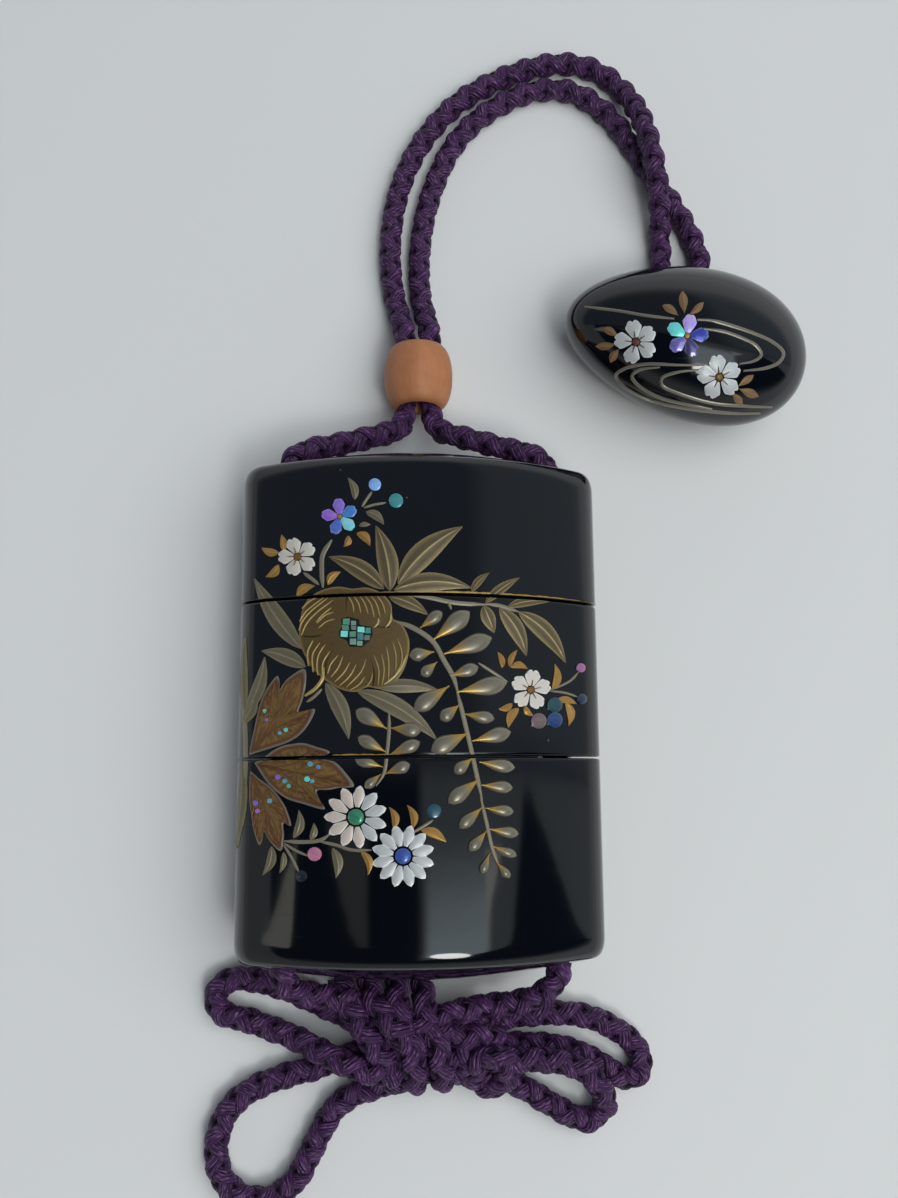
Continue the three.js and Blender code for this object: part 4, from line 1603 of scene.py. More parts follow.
    def lobed_leaf(self, leaf, chooser):
        """Leaf with pointed lobes: grey rim, red-brown border and a mottled golden field."""
        centre = Vector(leaf.centre)
        outline = centripetal(leaf.outline + leaf.outline[:1], LOBE_SPACING)[:-1]
        rows = []
        for s, border, lift in LEAF_BANDS:
            row = []
            for place in outline:
                shade = border or blend(RUSSET.fill, chooser.choice((OCHRE, BARK, RUSSET.fill)), 0.75)
                row.append((centre.lerp(place, s), lift, shade))
            rows.append(row)
        self.patch("gold", rows, ring=True)
        for tip in leaf.tips:
            base, _, side = stroke(leaf.base, tip)
            tip = Vector(tip)
            way_in = base.lerp(centre, 0.7).lerp(base.lerp(tip, 0.4), 0.4)
            self.line([base, way_in, tip], 1.5, RUSSET.rib, **VEIN)
            for spot in LOBE_SIDE_VEINS:
                for way in (-1, 1):
                    end = base.lerp(tip, spot + 0.13) + side * way * 5 * (1.15 - spot)
                    self.line([base.lerp(tip, spot), end], 1.1, RUSSET.rib, **VEIN)

    def build(self, prefix, sections):
        """One object for each finish and section; sections map a name to its lowest and highest y."""
        for finish, (points, colours, faces) in self.layers.items():
            material = finish_of(finish, *PICTURE_FINISHES[finish])
            for section, (low, high) in sections.items():
                work = patch_mesh(points, colours, faces, low, high)
                if work.faces:
                    mesh = bpy.data.meshes.new(f"{prefix}_{finish}_{section}")
                    work.to_mesh(mesh)
                    made = add_object(mesh.name, mesh)
                    smooth(made, PICTURE_CRISP_ANGLE)
                    dress(made, material, "shell_inlay" if finish == "shell" else "maki_e_gold")
                work.free()


def patch_mesh(points, colours, faces, low, high):
    """Patches cut off flat at a section's two ends and closed there."""
    work = bmesh.new()
    paint = work.verts.layers.float_color.new("paint")
    made = []
    for point, shade in zip(points, colours):
        vert = work.verts.new(point)
        vert[paint] = (*shade, 1)
        made.append(vert)
    for face in faces:
        work.faces.new([made[i] for i in face])
    for limit, way in ((low, -1), (high, 1)):
        if limit is None:
            continue
        everything = work.verts[:] + work.edges[:] + work.faces[:]
        bmesh.ops.bisect_plane(
            work, geom=everything, dist=1e-7, plane_co=(0, limit, 0), plane_no=(0, way, 0), clear_outer=True,
        )
        open_edges = [edge for edge in work.edges if edge.is_boundary]
        bmesh.ops.holes_fill(work, edges=open_edges)
    loose = [vert for vert in work.verts if not vert.link_faces]
    bmesh.ops.delete(work, geom=loose, context="VERTS")
    bmesh.ops.recalc_face_normals(work, faces=work.faces)
    return work


# Front picture: places in the photograph's pixels

Leaf = namedtuple("Leaf", "base tip width bend")
Bud = namedtuple("Bud", "base tip width")
Stem = namedtuple("Stem", "points width")
Dot = namedtuple("Dot", "centre radius shade")
LEVEL_ANGLES = (108, 36, -36, -108, 180)

LARGE_LEAVES = [
    Leaf((384, 589), (329, 557), 19, 5), Leaf((390, 591), (376, 526), 21, 4),
    Leaf((398, 584), (462, 527), 24, -6), Leaf((394, 590), (471, 588), 19, -7),
    Leaf((471, 592), (489, 573), 8, -2), Leaf((485, 603), (519, 578), 10, -2),
    Leaf((389, 597), (428, 615), 13, -3), Leaf((507, 607), (549, 602), 10, -3),
    Leaf((483, 606), (494, 633), 14, 0), Leaf((499, 608), (526, 656), 17, -4),
    Leaf((518, 612), (565, 663), 18, -6),
]
GREY_LEAVES = [
    Leaf((302, 649), (255, 579), 19, -3), Leaf((306, 667), (262, 651), 16, 3),
    Leaf((326, 683), (349, 739), 17, -4), Leaf((357, 691), (437, 740), 19, -7),
    Leaf((378, 688), (438, 690), 14, -3), Leaf((246, 716), (246, 638), 8, -2),
    Leaf((247, 712), (265, 657), 13, 4), Leaf((243, 724), (256, 691), 11, 3),
    Leaf((243, 762), (236, 848), 9, -3),
]
LobedLeaf = namedtuple("LobedLeaf", "outline centre base tips")
LOBED_LEAVES = [
    LobedLeaf(
        outline=[
            (250, 755), (252, 742), (255, 728), (258, 714), (262, 700), (268, 688), (278, 676), (280, 684),
            (280, 690), (285, 682), (293, 675), (305, 669), (306, 685), (303, 699), (299, 712), (306, 711),
            (315, 709), (309, 724), (300, 735), (289, 742), (272, 748),
        ],
        centre=(279, 718), base=(252, 752), tips=[(276, 682), (302, 676), (310, 713)],
    ),
    LobedLeaf(
        outline=[
            (255, 763), (264, 758), (273, 751), (283, 746), (293, 744), (303, 743), (317, 747), (330, 752),
            (322, 758), (335, 762), (346, 773), (354, 786), (339, 788), (328, 790), (317, 791), (320, 800),
            (325, 809), (304, 804), (286, 798), (270, 785),
        ],
        centre=(299, 772), base=(258, 765), tips=[(324, 752), (349, 784), (321, 805)],
    ),
    LobedLeaf(
        outline=[
            (251, 771), (250, 786), (250, 800), (252, 815), (254, 829), (260, 845), (263, 838), (264, 831),
            (270, 841), (281, 851), (284, 838), (284, 823), (291, 826), (288, 813), (284, 804), (271, 787),
            (260, 779),
        ],
        centre=(268, 806), base=(252, 775), tips=[(259, 839), (279, 846), (288, 822)],
    ),
]
LOBE_DOTS = [
    Dot((287, 730), 2.2, tone(120, 220, 190)), Dot((281, 733), 2.0, tone(110, 150, 190)),
    Dot((266, 711), 2.0, tone(120, 200, 160)), Dot((268, 720), 1.8, tone(150, 110, 190)),
    Dot((279, 777), 2.6, tone(150, 110, 200)), Dot((286, 781), 2.4, tone(90, 160, 170)),
    Dot((308, 779), 2.8, tone(110, 240, 210)), Dot((313, 781), 2.0, tone(110, 170, 200)),
    Dot((311, 764), 2.6, tone(90, 170, 170)), Dot((319, 767), 2.2, tone(110, 140, 190)),
    Dot((290, 786), 2.0, tone(90, 190, 160)), Dot((257, 803), 2.6, tone(140, 110, 200)),
    Dot((259, 811), 2.4, tone(160, 110, 190)), Dot((271, 801), 2.6, tone(90, 170, 180)),
]
SMALL_GOLD_LEAVES = [
    Leaf((284, 551), (282, 535), 7, 1), Leaf((279, 553), (262, 548), 8, -2),
    Leaf((279, 565), (266, 577), 8, -3), Leaf((328, 585), (341, 572), 8, -3),
    Leaf((297, 596), (315, 586), 9, -3), Leaf((349, 536), (344, 547), 7, -2),
    Leaf((357, 533), (370, 546), 9, -3), Leaf((502, 668), (497, 652), 6, 2),
    Leaf((509, 667), (517, 650), 6, -2), Leaf((510, 667), (527, 669), 7, -3),
    Leaf((552, 690), (554, 664), 8, 4), Leaf((565, 702), (568, 726), 8, -4),
    Leaf((512, 704), (498, 709), 7, -2), Leaf((518, 708), (508, 728), 9, 3),
    Leaf((524, 706), (533, 716), 6, 2), Leaf((556, 700), (576, 704), 7, -2),
    Leaf((394, 829), (389, 807), 8, 4), Leaf((413, 828), (407, 805), 8, 4),
    Leaf((421, 830), (446, 842), 10, -3), Leaf((361, 851), (368, 875), 8, -5),
    Leaf((316, 849), (317, 858), 4, 0),
]
SMALL_GREY_LEAVES = [
    Leaf((355, 500), (348, 478), 8, 3), Leaf((366, 512), (384, 525), 9, -3),
    Leaf((359, 526), (371, 525), 5, -1), Leaf((294, 838), (299, 810), 9, 4),
    Leaf((311, 840), (314, 823), 7, 2), Leaf((333, 848), (336, 878), 10, -4),
    Leaf((272, 846), (263, 875), 9, -4), Leaf((284, 852), (280, 873), 6, -2),
]
GREY_STEMS = [
    Stem([(332, 540), (323, 555), (322, 571), (323, 588)], 4.4),
    Stem([(319, 585), (312, 579), (304, 573)], 3.6),
    Stem([(362, 507), (367, 499), (372, 492)], 2.8),
    Stem([(364, 508), (374, 505), (386, 503)], 2.6),
    Stem([(394, 621), (413, 628), (433, 642), (444, 661), (453, 677), (458, 694)], 5.0),
    Stem([(456, 688), (463, 716), (471, 750), (476, 773), (482, 801)], 4.4),
    Stem([(480, 796), (487, 826), (492, 848), (499, 868)], 3.6),
    Stem([(389, 710), (389, 731), (387, 753), (384, 773), (376, 786)], 3.6),
    Stem([(478, 663), (492, 672), (507, 682)], 3.0),
    Stem([(549, 690), (560, 686), (571, 680), (578, 672)], 2.4),
    Stem([(549, 691), (565, 693), (577, 697)], 2.4),
    Stem([(242, 680), (245, 719), (246, 761), (243, 806), (238, 846)], 4.2),
    Stem([(284, 841), (303, 842), (321, 840), (330, 834)], 3.8),
    Stem([(318, 841), (336, 845), (352, 850), (372, 850)], 3.4),
    Stem([(284, 843), (295, 850), (308, 856)], 2.8),
    Stem([(284, 845), (292, 858), (299, 872)], 2.8),
    Stem([(394, 592), (425, 597), (455, 603), (487, 605)], 4.2),
    Stem([(446, 600), (449, 604), (451, 610)], 3.0),
    Stem([(412, 833), (424, 826), (433, 820)], 3.2),
    Stem([(322, 689), (314, 697), (307, 702)], 3.0),
    Stem([(485, 604), (500, 606), (518, 612)], 3.6),
]
WISTERIA_BUDS = [
    Bud((433, 640), (469, 612), 19), Bud((444, 654), (491, 638), 19), Bud((450, 676), (478, 667), 14),
    Bud((457, 692), (506, 683), 19), Bud((420, 628), (442, 612), 13), Bud((434, 652), (409, 656), 14),
    Bud((437, 662), (421, 676), 12), Bud((449, 686), (414, 710), 18), Bud((459, 705), (440, 720), 14),
    Bud((464, 714), (494, 719), 13), Bud((472, 741), (510, 732), 16), Bud((468, 733), (431, 751), 19),
    Bud((472, 758), (454, 773), 13), Bud((479, 762), (514, 768), 14), Bud((479, 779), (448, 803), 16),
    Bud((481, 785), (512, 788), 13), Bud((482, 807), (459, 828), 13), Bud((485, 808), (513, 812), 12),
    Bud((486, 831), (469, 851), 12), Bud((489, 829), (518, 834), 12), Bud((489, 853), (481, 874), 9),
    Bud((492, 846), (516, 856), 10), Bud((496, 862), (509, 878), 9), Bud((387, 729), (356, 710), 17),
    Bud((386, 752), (358, 737), 14), Bud((383, 767), (355, 759), 12), Bud((381, 774), (365, 788), 10),
    Bud((390, 728), (421, 731), 15), Bud((389, 755), (420, 742), 14), Bud((385, 774), (410, 764), 13),
]
UPPER_SHELL_PETALS = [
    (95, tone(150, 110, 215)), (172, tone(165, 110, 215)), (27, tone(80, 130, 200)),
    (-42, tone(140, 225, 235)), (-110, tone(85, 110, 190)),
]
LID_SHELL_BUDS = [
    Dot((375, 485), 6.2, tone(140, 175, 250)), Dot((396, 501), 7.2, tone(72, 138, 136)),
]
SIDE_SHELL_DOTS = [
    Dot((580, 668), 4.6, tone(160, 92, 128)), Dot((581, 699), 5.2, tone(34, 46, 64)),
    Dot((554, 705), 7.6, tone(40, 68, 72)), Dot((554, 720), 7.8, tone(42, 62, 100)),
    Dot((538, 721), 7.8, tone(116, 92, 86)), Dot((434, 811), 7.2, tone(44, 74, 84)),
    Dot((302, 876), 5.6, tone(34, 38, 44)), Dot((315, 854), 7.0, tone(205, 124, 142)),
]
PEONY_CENTRE = (356, 637)
PEONY_OUTLINE = [
    (300, 627), (302, 613), (308, 600), (321, 591), (338, 587), (353, 589), (368, 588), (382, 594),
    (391, 604), (393, 619), (402, 625), (409, 640), (408, 657), (402, 673), (393, 684), (380, 689),
    (368, 687), (356, 692), (340, 689), (324, 679), (312, 667), (304, 653), (300, 640),
]
SEAM_LINE_UPPER = Stem([
    (303, 598), (340, 597), (384, 593), (440, 592), (495, 594), (560, 599), (596, 604),
], 2.2)
SEAM_LINE_LOWER = Stem([(333, 755), (352, 755), (380, 755), (412, 756)], 2.2)

# The bloom is drawn in finer units, counted from its upper left corner
BLOOM_CORNER = Vector((294, 582))
BLOOM_UNIT = 1 / 13.07
BLOOM_RIBS = [
    [(120, 350), (210, 260), (340, 190)],
    [(90, 520), (160, 400), (290, 290), (400, 210)],
    [(80, 640), (110, 540), (220, 400), (450, 215)],
    [(110, 700), (170, 560), (280, 430), (520, 240)],
    [(300, 530), (380, 440), (500, 340)],
    [(310, 545), (420, 440), (530, 400)],
    [(330, 610), (440, 520), (550, 490)],
    [(720, 200), (775, 300), (790, 400)],
    [(790, 195), (850, 290), (880, 410)],
    [(870, 195), (930, 290), (975, 430)],
    [(940, 195), (1010, 300), (1055, 470)],
    [(1010, 190), (1080, 290), (1130, 470)],
    [(1090, 190), (1160, 290), (1195, 420)],
    [(1050, 960), (1110, 1150), (1100, 1360)],
    [(1150, 950), (1180, 1150), (1150, 1360)],
    [(1210, 850), (1240, 1050), (1235, 1290)],
    [(1290, 790), (1330, 950), (1330, 1170)],
    [(1350, 750), (1405, 900), (1400, 1080), (1310, 1230)],
    [(590, 960), (490, 1080), (450, 1200)],
    [(650, 970), (590, 1120), (490, 1250)],
    [(740, 1050), (660, 1190), (540, 1310)],
    [(820, 1080), (740, 1230), (600, 1360)],
    [(950, 1010), (880, 1180), (690, 1380)],
    [(930, 1240), (860, 1340), (730, 1420)],
    [(1030, 1190), (1010, 1290), (950, 1370)],
    [(260, 770), (190, 920), (200, 1100)],
    [(350, 800), (255, 950), (260, 1180)],
    [(420, 820), (335, 950), (310, 1080), (320, 1220)],
    [(480, 910), (390, 1060), (380, 1230)],
]
BLOOM_GROOVES = [
    [(700, 190), (690, 300), (690, 430)],
    [(1265, 590), (1150, 600), (1040, 570)],
    [(1040, 1370), (1050, 1170), (990, 950)],
    [(420, 1230), (430, 1050), (540, 880)],
    [(130, 710), (250, 720), (380, 700)],
]
BLOOM_FOLDS = [
    [(1270, 420), (1260, 520), (1200, 600)],
    [(1110, 480), (1100, 550), (1050, 600)],
    [(1470, 960), (1400, 1130), (1290, 1260), (1180, 1340)],
]
BLOOM_TAIL = [(400, 1120), (380, 1260), (290, 1390), (150, 1490)]
MOSAIC_BED = [
    (620, 480), (720, 455), (860, 490), (870, 560), (1020, 590), (1045, 690), (1000, 790), (900, 870),
    (730, 860), (690, 770), (600, 740), (590, 650), (630, 590),
]
MOSAIC_MIDDLE = (800, 670)
Tile = namedtuple("Tile", "centre width height shade")
TILE_GREEN = tone(96, 152, 112)
TILE_PALE = tone(134, 160, 132)
TILE_BRIGHT = tone(140, 255, 228)
TILE_TEAL = tone(84, 142, 130)
TILE_DIM = tone(116, 124, 106)
MOSAIC_TILES = [
    Tile((695, 525), 88, 80, TILE_GREEN), Tile((790, 545), 66, 58, TILE_PALE),
    Tile((685, 606), 84, 62, TILE_GREEN), Tile((790, 608), 64, 50, TILE_DIM),
    Tile((885, 630), 84, 70, TILE_BRIGHT), Tile((975, 640), 68, 68, TILE_TEAL),
    Tile((670, 685), 88, 74, TILE_BRIGHT), Tile((780, 690), 84, 74, TILE_GREEN),
    Tile((875, 720), 78, 80, TILE_TEAL), Tile((965, 735), 68, 62, TILE_DIM),
    Tile((780, 785), 80, 74, TILE_PALE), Tile((870, 810), 70, 64, TILE_PALE),
]


# Lines of the bloom: routes, width, colour, lift and taper
BLOOM_LINES = (
    (BLOOM_RIBS, 1.5, OLIVE.rib, 0.3, 0.4),
    (BLOOM_GROOVES, 1.6, GROOVE, 0.24, 0.4),
    (BLOOM_FOLDS, 2.2, DULL_GOLD.rib, 0.3, 0.4),
    ([BLOOM_TAIL], 3.2, OLIVE.rib, 0.2, 0.5),
)
BLOOM_RINGS = (1.0, 0.95, 0.85, 0.7, 0.55, 0.4, 0.25, 0.06)
BLOOM_SPACING = 5.0
BLOOM_SEED = 5
BED_RINGS = ((1, 0.34), (0.9, 0.42), (0.1, 0.42))
TILE_LIFT = 0.5
TILE_WOBBLE = 8
LOBE_SEED = 8


def in_bloom(place):
    return BLOOM_CORNER + Vector(place) * BLOOM_UNIT


def peony(picture):
    """Large bloom: a low dome of petals with golden ribs round a mosaic of shell."""
    centre = Vector(PEONY_CENTRE)
    outline = centripetal(PEONY_OUTLINE + PEONY_OUTLINE[:1], BLOOM_SPACING)[:-1]
    chooser = random.Random(BLOOM_SEED)
    rows = []
    for s in BLOOM_RINGS:
        row = []
        for place in outline:
            shade = OLIVE.edge if s > 0.97 else blend(OLIVE.fill, BARK, 0.3 * chooser.random())
            row.append((centre.lerp(place, s), 0.08 + 0.3 * (1 - s ** 3), shade))
        rows.append(row)
    picture.patch("gold", rows, ring=True)
    for routes, width, shade, lift, taper in BLOOM_LINES:
        for route in routes:
            picture.line([in_bloom(p) for p in route], width, shade, lift=lift, taper=taper)
    mosaic(picture, chooser)


def mosaic(picture, chooser):
    """Shell tiles on a dark bed in the bloom's middle."""
    middle = in_bloom(MOSAIC_MIDDLE)
    rim = [in_bloom(p) for p in MOSAIC_BED]
    rows = [[(middle.lerp(place, s), lift, GROOVE_BLACK) for place in rim] for s, lift in BED_RINGS]
    picture.patch("pale", rows, ring=True)
    for tile in MOSAIC_TILES:
        corners = []
        for x, y in ((-1, -1), (1, -1), (1, 1), (-1, 1)):
            wobble = Vector((chooser.random() - 0.5, chooser.random() - 0.5)) * TILE_WOBBLE
            corner = Vector(tile.centre) + Vector((x * tile.width, y * tile.height)) / 2 + wobble
            corners.append((in_bloom(corner), TILE_LIFT, tile.shade))
        picture.patch("shell", [corners[:2], corners[:1:-1]])


def front_picture(canvas):
    picture = Picture(canvas)

    def add_leaves(leaves, palette):
        for leaf in leaves:
            picture.leaf(*leaf, palette)

    add_leaves(LARGE_LEAVES, DULL_GOLD)
    add_leaves(GREY_LEAVES, GREY_GOLD)
    chooser = random.Random(LOBE_SEED)
    for leaf in LOBED_LEAVES:
        picture.lobed_leaf(leaf, chooser)
    add_leaves(SMALL_GOLD_LEAVES, BRIGHT_GOLD)
    add_leaves(SMALL_GREY_LEAVES, GREY_GOLD)
    for stem in GREY_STEMS:
        picture.line(*stem, STEM_GREY)
    for bud in WISTERIA_BUDS:
        picture.bud(*bud)
    for dot in LOBE_DOTS:
        picture.disc(*dot, "shell", lift=0.28, crown=0.06)
    for dot in LID_SHELL_BUDS + SIDE_SHELL_DOTS:
        picture.disc(*dot, "shell", lift=0.12, crown=0.12)
    peony(picture)
    picture.shell_blossom((340, 517), 17, UPPER_SHELL_PETALS)
    picture.blossom((298, 557), 19.5, LEVEL_ANGLES, PEARL_WHITE, "pale")
    picture.blossom((530, 690), 20.5, (82, 14, -62, -134, 150), PEARL_WHITE, "pale")
    picture.daisy(
        (356, 817), 30.5, 10, 11,
        lambda angle: CREAM if 75 < angle < 285 else SILVER_PETAL, GREEN_CENTRE,
    )
    picture.daisy((403, 856), 30.5, 10, 12, lambda angle: SILVER_PETAL, BLUE_CENTRE)
    for line in (SEAM_LINE_UPPER, SEAM_LINE_LOWER):
        picture.line(*line, BUD_GOLD, wave=0.5)
    return picture


# Back picture: one plain spray, in millimetres on the case's back

BACK_STEM = Stem([(-17, -30), (-11, -14), (-3, 0), (8, 12), (17, 22)], 0.8)
BACK_LEAVES = [
    Leaf((-13, -19), (-21, -8), 4.2, 0.8), Leaf((-9, -10), (2, -16), 4.2, -0.8),
    Leaf((-5, -3), (-14, 8), 4.4, 1.0), Leaf((1, 4), (13, 0), 4.4, -1.0),
    Leaf((7, 11), (1, 24), 4.0, 0.8),
]


def back_picture(canvas):
    picture = Picture(canvas)
    picture.line(*BACK_STEM, STEM_GREY)
    for leaf in BACK_LEAVES:
        picture.leaf(*leaf, palette=GREY_GOLD)
    picture.blossom((17, 23), 4.2, LEVEL_ANGLES, SILVER_PETAL, "pale")
    picture.blossom((-2, -3.4), 3.4, LEVEL_ANGLES, SILVER_PETAL, "pale")
    return picture


# Toggle picture: places in the photograph's pixels

TOGGLE_LEAVES = [
    Leaf((618, 337), (603, 328), 8, 1), Leaf((616, 344), (596, 346), 8, -1),
    Leaf((619, 349), (611, 362), 8, 1), Leaf((678, 316), (662, 306), 8, 1),
    Leaf((684, 314), (682, 292), 9, 0), Leaf((689, 315), (703, 303), 7, 1),
    Leaf((738, 386), (753, 375), 7, 0), Leaf((739, 389), (758, 396), 9, 0),
    Leaf((732, 393), (742, 404), 8, 0),
]
WATER_LINES = [
    Stem([(585, 307), (617, 311), (647, 316), (674, 319)], 3.0),
    Stem([
        (697, 320), (712, 321), (731, 326), (754, 334), (773, 343), (783, 353), (779, 362), (766, 368),
        (743, 371),
    ], 3.4),
    Stem([(703, 329), (724, 332), (743, 339), (756, 346), (761, 355), (754, 361), (739, 364)], 3.2),
    Stem([
        (705, 365), (678, 365), (647, 364), (626, 368), (616, 375), (622, 385), (647, 399), (685, 408),
        (731, 413), (760, 413),
    ], 3.2),
    Stem([(660, 367), (639, 370), (632, 376), (638, 385), (659, 397), (689, 405), (712, 409)], 3.2),
    Stem([
        (699, 370), (678, 372), (662, 378), (662, 385), (678, 393), (712, 403), (747, 406), (772, 407),
    ], 3.2),
]
TOGGLE_SHELL_PETALS = [
    (80, tone(190, 160, 240)), (152, tone(110, 225, 205)), (222, tone(115, 100, 160)),
    (-72, tone(72, 58, 104)), (4, tone(62, 68, 150)),
]


def toggle_picture(canvas):
    picture = Picture(canvas)
    for line in WATER_LINES:
        picture.line(*line, WATER_SILVER, "silver", taper=0.6)
    for leaf in TOGGLE_LEAVES:
        picture.leaf(*leaf, palette=UMBER_GOLD, lift=0.1, full=0.58)
    picture.shell_blossom((687, 336), 20, TOGGLE_SHELL_PETALS)
    picture.blossom((636, 342), 22, (100, 34, -34, -107, 174), SILVER_PETAL, "petal", tone(120, 80, 70))
    picture.blossom((719, 377), 22.5, (98, 28, -42, -118, 172), SILVER_PETAL, "petal", tone(130, 100, 60))
    return picture


# Stage

Softbox = namedtuple("Softbox", "place size power tint mirrored")
SCENE_MIDDLE = Vector((0.005, 0.02, 0.008))
SOFTBOXES = {
    "key_light": Softbox(
        place=(0.246, -0.541, 0.985), size=0.3, power=2.4, tint=(1, 0.985, 0.96), mirrored=True,
    ),
    "side_light": Softbox(
        place=(0.5, -0.05, 1.0), size=1.6, power=10.9, tint=(1, 1, 1), mirrored=False,
    ),
}

# What the lacquer mirrors, in p = x / z and q = y / z of the direction
# Each side of a glow is its p at q = 0 and its slant
Glow = namedtuple("Glow", "left right low high edge fade shade")
OVERHEAD = (0.13, 0.155, 0.2)
LOWEST_RISE = 0.03
# The room's plain sides begin past an oval in p and q, and are brightest towards one direction
OVAL_MIDDLE = (0.2, 0.05)
OVAL_REACH = (4.5, 1.5)
OVAL_EDGE = (0.7, 1.5)
SIDE_BRIGHTNESS = 0.48
SIDE_DIFFERENCE = 0.16
BRIGHT_WAY = (0.64, 0.77)
FLOOR_HALF = 1.2
DEEP_SHADE = (0.02, 0.03, 0.05)
ROOM_GLOWS = [
    Glow(left=(0.5, 0), right=(9, 0), low=0.05, high=3, edge=0.15, fade=0.05, shade=(0.27, 0.32, 0.36)),
    Glow(left=(-9, 0), right=(9, 0), low=-2, high=0.02, edge=0.1, fade=0.012, shade=DEEP_SHADE),
    Glow(left=(-9, 0), right=(-1.72, 0), low=-2, high=0.02, edge=0.05, fade=0.012, shade=(0.3, 0.31, 0.33)),
    Glow(left=(0.03, 0), right=(9, 0), low=-2, high=0.02, edge=0.04, fade=0.012, shade=(0.36, 0.4, 0.43)),
    Glow(
        left=(-0.9, 3.9), right=(-1.09, 0.6), low=-0.3, high=-0.05, edge=0.02, fade=0.01,
        shade=(0.95, 0.93, 0.84),
    ),
    Glow(
        left=(-0.83, -2.6), right=(-0.35, 0), low=-0.16, high=-0.03, edge=0.03, fade=0.02,
        shade=(0.26, 0.26, 0.25),
    ),
    Glow(
        left=(0.07, 0), right=(0.55, 0), low=-0.6, high=-0.085, edge=0.04, fade=0.06,
        shade=(1.4, 1.65, 1.8),
    ),
    Glow(
        left=(0.52, 0), right=(0.82, 2.3), low=-0.14, high=-0.055, edge=0.015, fade=0.006,
        shade=(1.5, 1.5, 1.42),
    ),
    Glow(left=(0.97, 1.1), right=(1.09, -4.8), low=-2, high=0, edge=0.04, fade=0.012, shade=DEEP_SHADE),
]


def build_camera():
    data = bpy.data.cameras.new("camera")
    data.sensor_width = SENSOR
    data.sensor_fit = "AUTO"
    data.lens = bpy.context.scene.inro_camera.lens
    data.clip_start = 10 * MM
    camera = bpy.data.objects.new("camera", data)
    camera.matrix_world = camera_matrix()
    bpy.context.collection.objects.link(camera)
    bpy.context.scene.camera = camera


def build_lights():
    for name, box in SOFTBOXES.items():
        data = bpy.data.lights.new(name, "AREA")
        data.shape = "DISK"
        data.size = box.size
        data.energy = box.power
        data.color = box.tint
        lamp = bpy.data.objects.new(name, data)
        place = Vector(box.place)
        aim = (SCENE_MIDDLE - place).to_track_quat("-Z", "Y").to_matrix().to_4x4()
        lamp.matrix_world = Matrix.Translation(place) @ aim
        lamp.visible_glossy = box.mirrored
        bpy.context.collection.objects.link(lamp)


def build_room():
    """Room light: plain grey sides, and a dim patchy ceiling that the lacquer mirrors."""
    world = bpy.data.worlds.new("room")
    world.use_nodes = True
    maker = NodeMaker(world.node_tree)
    way = maker.node("ShaderNodeTexCoord").of("Generated")
    parts = maker.separate(way)
    x = parts.of("X")
    y = parts.of("Y")
    rise = parts.of("Z").highest(LOWEST_RISE)
    p = x / rise
    q = y / rise
    ceiling = OVERHEAD
    for glow in ROOM_GLOWS:
        weight = maker.ramp(q, glow.low - glow.fade, glow.low + glow.fade)
        weight = weight * maker.ramp(q, glow.high + glow.fade, glow.high - glow.fade)
        for (at, slant), way_in in ((glow.left, 1), (glow.right, -1)):
            edge = glow.edge * way_in
            weight = weight * maker.ramp(p - q * slant, at - edge, at + edge)
        ceiling = maker.mix(weight, ceiling, glow.shade)
    wide = (p - OVAL_MIDDLE[0]) / OVAL_REACH[0]
    long = (q - OVAL_MIDDLE[1]) / OVAL_REACH[1]
    reach = (wide * wide + long * long) ** 0.5
    flat = ((x * x + y * y) ** 0.5).highest(0.01)
    towards = (x * BRIGHT_WAY[0] + y * BRIGHT_WAY[1]) / flat
    brightness = SIDE_BRIGHTNESS + towards * SIDE_DIFFERENCE
    sides = maker.combine(brightness * 0.98, brightness, brightness * 1.02)
    tones = maker.mix(maker.ramp(reach, *OVAL_EDGE), ceiling, sides)
    background = world.node_tree.nodes["Background"]
    world.node_tree.links.new(tones.socket, background.inputs["Color"])
    background.inputs["Strength"].default_value = 1.0
    bpy.context.scene.world = world


def build_floor():
    corners = [(x * FLOOR_HALF, y * FLOOR_HALF, 0) for x, y in ((-1, -1), (1, -1), (1, 1), (-1, 1))]
    mesh = bpy.data.meshes.new("pale_floor")
    mesh.from_pydata(corners, [], [(0, 1, 2, 3)])
    floor = add_object("pale_floor", mesh)
    mesh.materials.append(floor_material())
    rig.stage(floor)


# Operators

class INRO_OT_stage(bpy.types.Operator):
    """Makes the camera, the lights, the room and the floor"""

    bl_idname = "inro.stage"
    bl_label = "Stage"

    def execute(self, context):
        build_camera()
        build_lights()
        build_room()
        build_floor()
        context.scene.view_settings.view_transform = "Standard"
        return {"FINISHED"}


class INRO_OT_cords(bpy.types.Operator):
    """Makes the braided cord, its knot and the strands inside the bead"""

    bl_idname = "inro.cords"
    bl_label = "Braided cord"

    def execute(self, context):
        knot, _ = braided("bow_knot_braid", KNOT_WRAPS)
        dress(knot, silk(), "cord_silk", "bow_knot")
        inside, _ = braided("bead_strands_braid", BEAD_WRAPS)
        dress(inside, silk(), "cord_silk", "cord_in_bead")
        build_cords([knot, inside])
        return {"FINISHED"}


class INRO_OT_case(bpy.types.Operator):
    """Makes the lid, the middle section and the bottom section"""

    bl_idname = "inro.case"
    bl_label = "Case"

    def execute(self, context):
        shape = CaseShape(context.scene.inro_case)
        for node, (rings, ends) in section_rings(shape).items():
            made = build_case_section(f"{node}_shell", rings, shape, ends)
            dress(made, lacquer(), "lacquer", node)
        return {"FINISHED"}


class INRO_OT_bead(bpy.types.Operator):
    """Makes the wooden cord bead"""

    bl_idname = "inro.bead"
    bl_label = "Cord bead"

    def execute(self, context):
        made = build_bead(context.scene.inro_bead)
        dress(made, finish_of("wood", wood_material), "bead_wood", "ojime_bead")
        return {"FINISHED"}


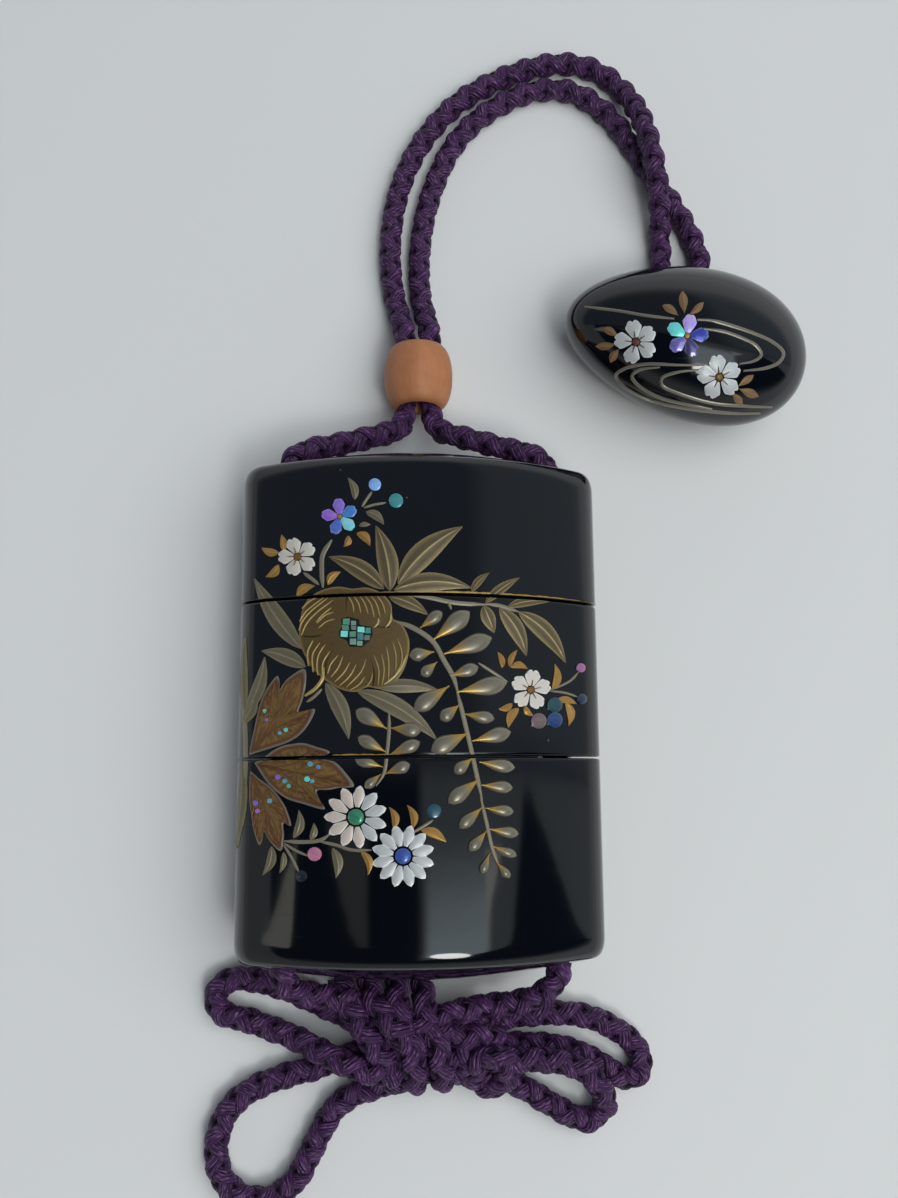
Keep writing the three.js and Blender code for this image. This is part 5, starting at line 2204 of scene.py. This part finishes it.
class INRO_OT_toggle(bpy.types.Operator):
    """Makes the egg-shaped toggle"""

    bl_idname = "inro.toggle"
    bl_label = "Toggle"

    def execute(self, context):
        made = build_toggle(ToggleShape(context.scene.inro_toggle))
        dress(made, lacquer(), "lacquer", "netsuke")
        return {"FINISHED"}


class INRO_OT_front_picture(bpy.types.Operator):
    """Paints and inlays the picture on the case's front"""

    bl_idname = "inro.front_picture"
    bl_label = "Front picture"

    def execute(self, context):
        shape = CaseShape(context.scene.inro_case)
        canvas = Canvas(
            lambda x, y: shape.height(x) + shape.middle_z, pixel_to_plane(shape.sizes.width * 0.493)
        )
        front_picture(canvas).build("front", case_sections(shape))
        return {"FINISHED"}


class INRO_OT_back_picture(bpy.types.Operator):
    """Paints the plain spray on the case's back"""

    bl_idname = "inro.back_picture"
    bl_label = "Back picture"

    def execute(self, context):
        shape = CaseShape(context.scene.inro_case)
        canvas = Canvas(lambda x, y: shape.height(x), in_millimetres)
        back = back_picture(canvas)
        for points, _, _ in back.layers.values():
            for point in points:
                point.z = max(0.00001, shape.middle_z - point.z)
        back.build("back", case_sections(shape))
        return {"FINISHED"}


class INRO_OT_toggle_picture(bpy.types.Operator):
    """Paints and inlays the picture on the toggle"""

    bl_idname = "inro.toggle_picture"
    bl_label = "Toggle picture"

    def execute(self, context):
        shape = ToggleShape(context.scene.inro_toggle)
        canvas = Canvas(shape.height, pixel_to_plane(0.2))
        toggle_picture(canvas).build("toggle", {"top": (None, None)})
        return {"FINISHED"}


def case_sections(shape):
    """Lowest and highest y that paint reaches on each section."""
    gap = shape.sizes.seam_gap / 2 + shape.sizes.seam_bevel * 0.5
    return {
        "lid": (shape.lid_seam + gap, shape.rim),
        "middle": (shape.base_seam + gap, shape.lid_seam - gap),
        "bottom": (-shape.rim, shape.base_seam - gap),
    }


class INRO_PT_parts(bpy.types.Panel):
    """Lists the steps that build the object"""

    bl_idname = "INRO_PT_parts"
    bl_label = "Inro case"
    bl_space_type = "VIEW_3D"
    bl_region_type = "UI"
    bl_category = "Inro"

    def draw(self, context):
        for operator in OPERATORS:
            self.layout.operator(operator.bl_idname)
        for group_name, group in GROUPS.items():
            box = self.layout.box()
            settings = getattr(context.scene, group_name)
            for name in group.__annotations__:
                box.prop(settings, name)


OPERATORS = [
    INRO_OT_stage,
    INRO_OT_cords,
    INRO_OT_case,
    INRO_OT_bead,
    INRO_OT_toggle,
    INRO_OT_front_picture,
    INRO_OT_back_picture,
    INRO_OT_toggle_picture,
]


def register():
    for group_name, group in GROUPS.items():
        bpy.utils.register_class(group)
        setattr(bpy.types.Scene, group_name, bpy.props.PointerProperty(type=group))
    for made in [*OPERATORS, INRO_PT_parts]:
        bpy.utils.register_class(made)


def unregister():
    for made in reversed([*OPERATORS, INRO_PT_parts]):
        bpy.utils.unregister_class(made)
    for group_name, group in reversed(list(GROUPS.items())):
        delattr(bpy.types.Scene, group_name)
        bpy.utils.unregister_class(group)


def plain(box):
    return [[float(value) for value in corner] for corner in box]


def main():
    register()
    bpy.ops.inro.stage()
    bpy.ops.inro.cords()
    bpy.ops.inro.case()
    bpy.ops.inro.bead()
    bpy.ops.inro.toggle()
    bpy.ops.inro.front_picture()
    bpy.ops.inro.back_picture()
    bpy.ops.inro.toggle_picture()
    with open(SIZE_FILE, "w") as file:
        json.dump({"cad": plain(CAD_BOX), "visual": plain(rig.bounds())}, file)


if __name__ == "__main__":
    main()
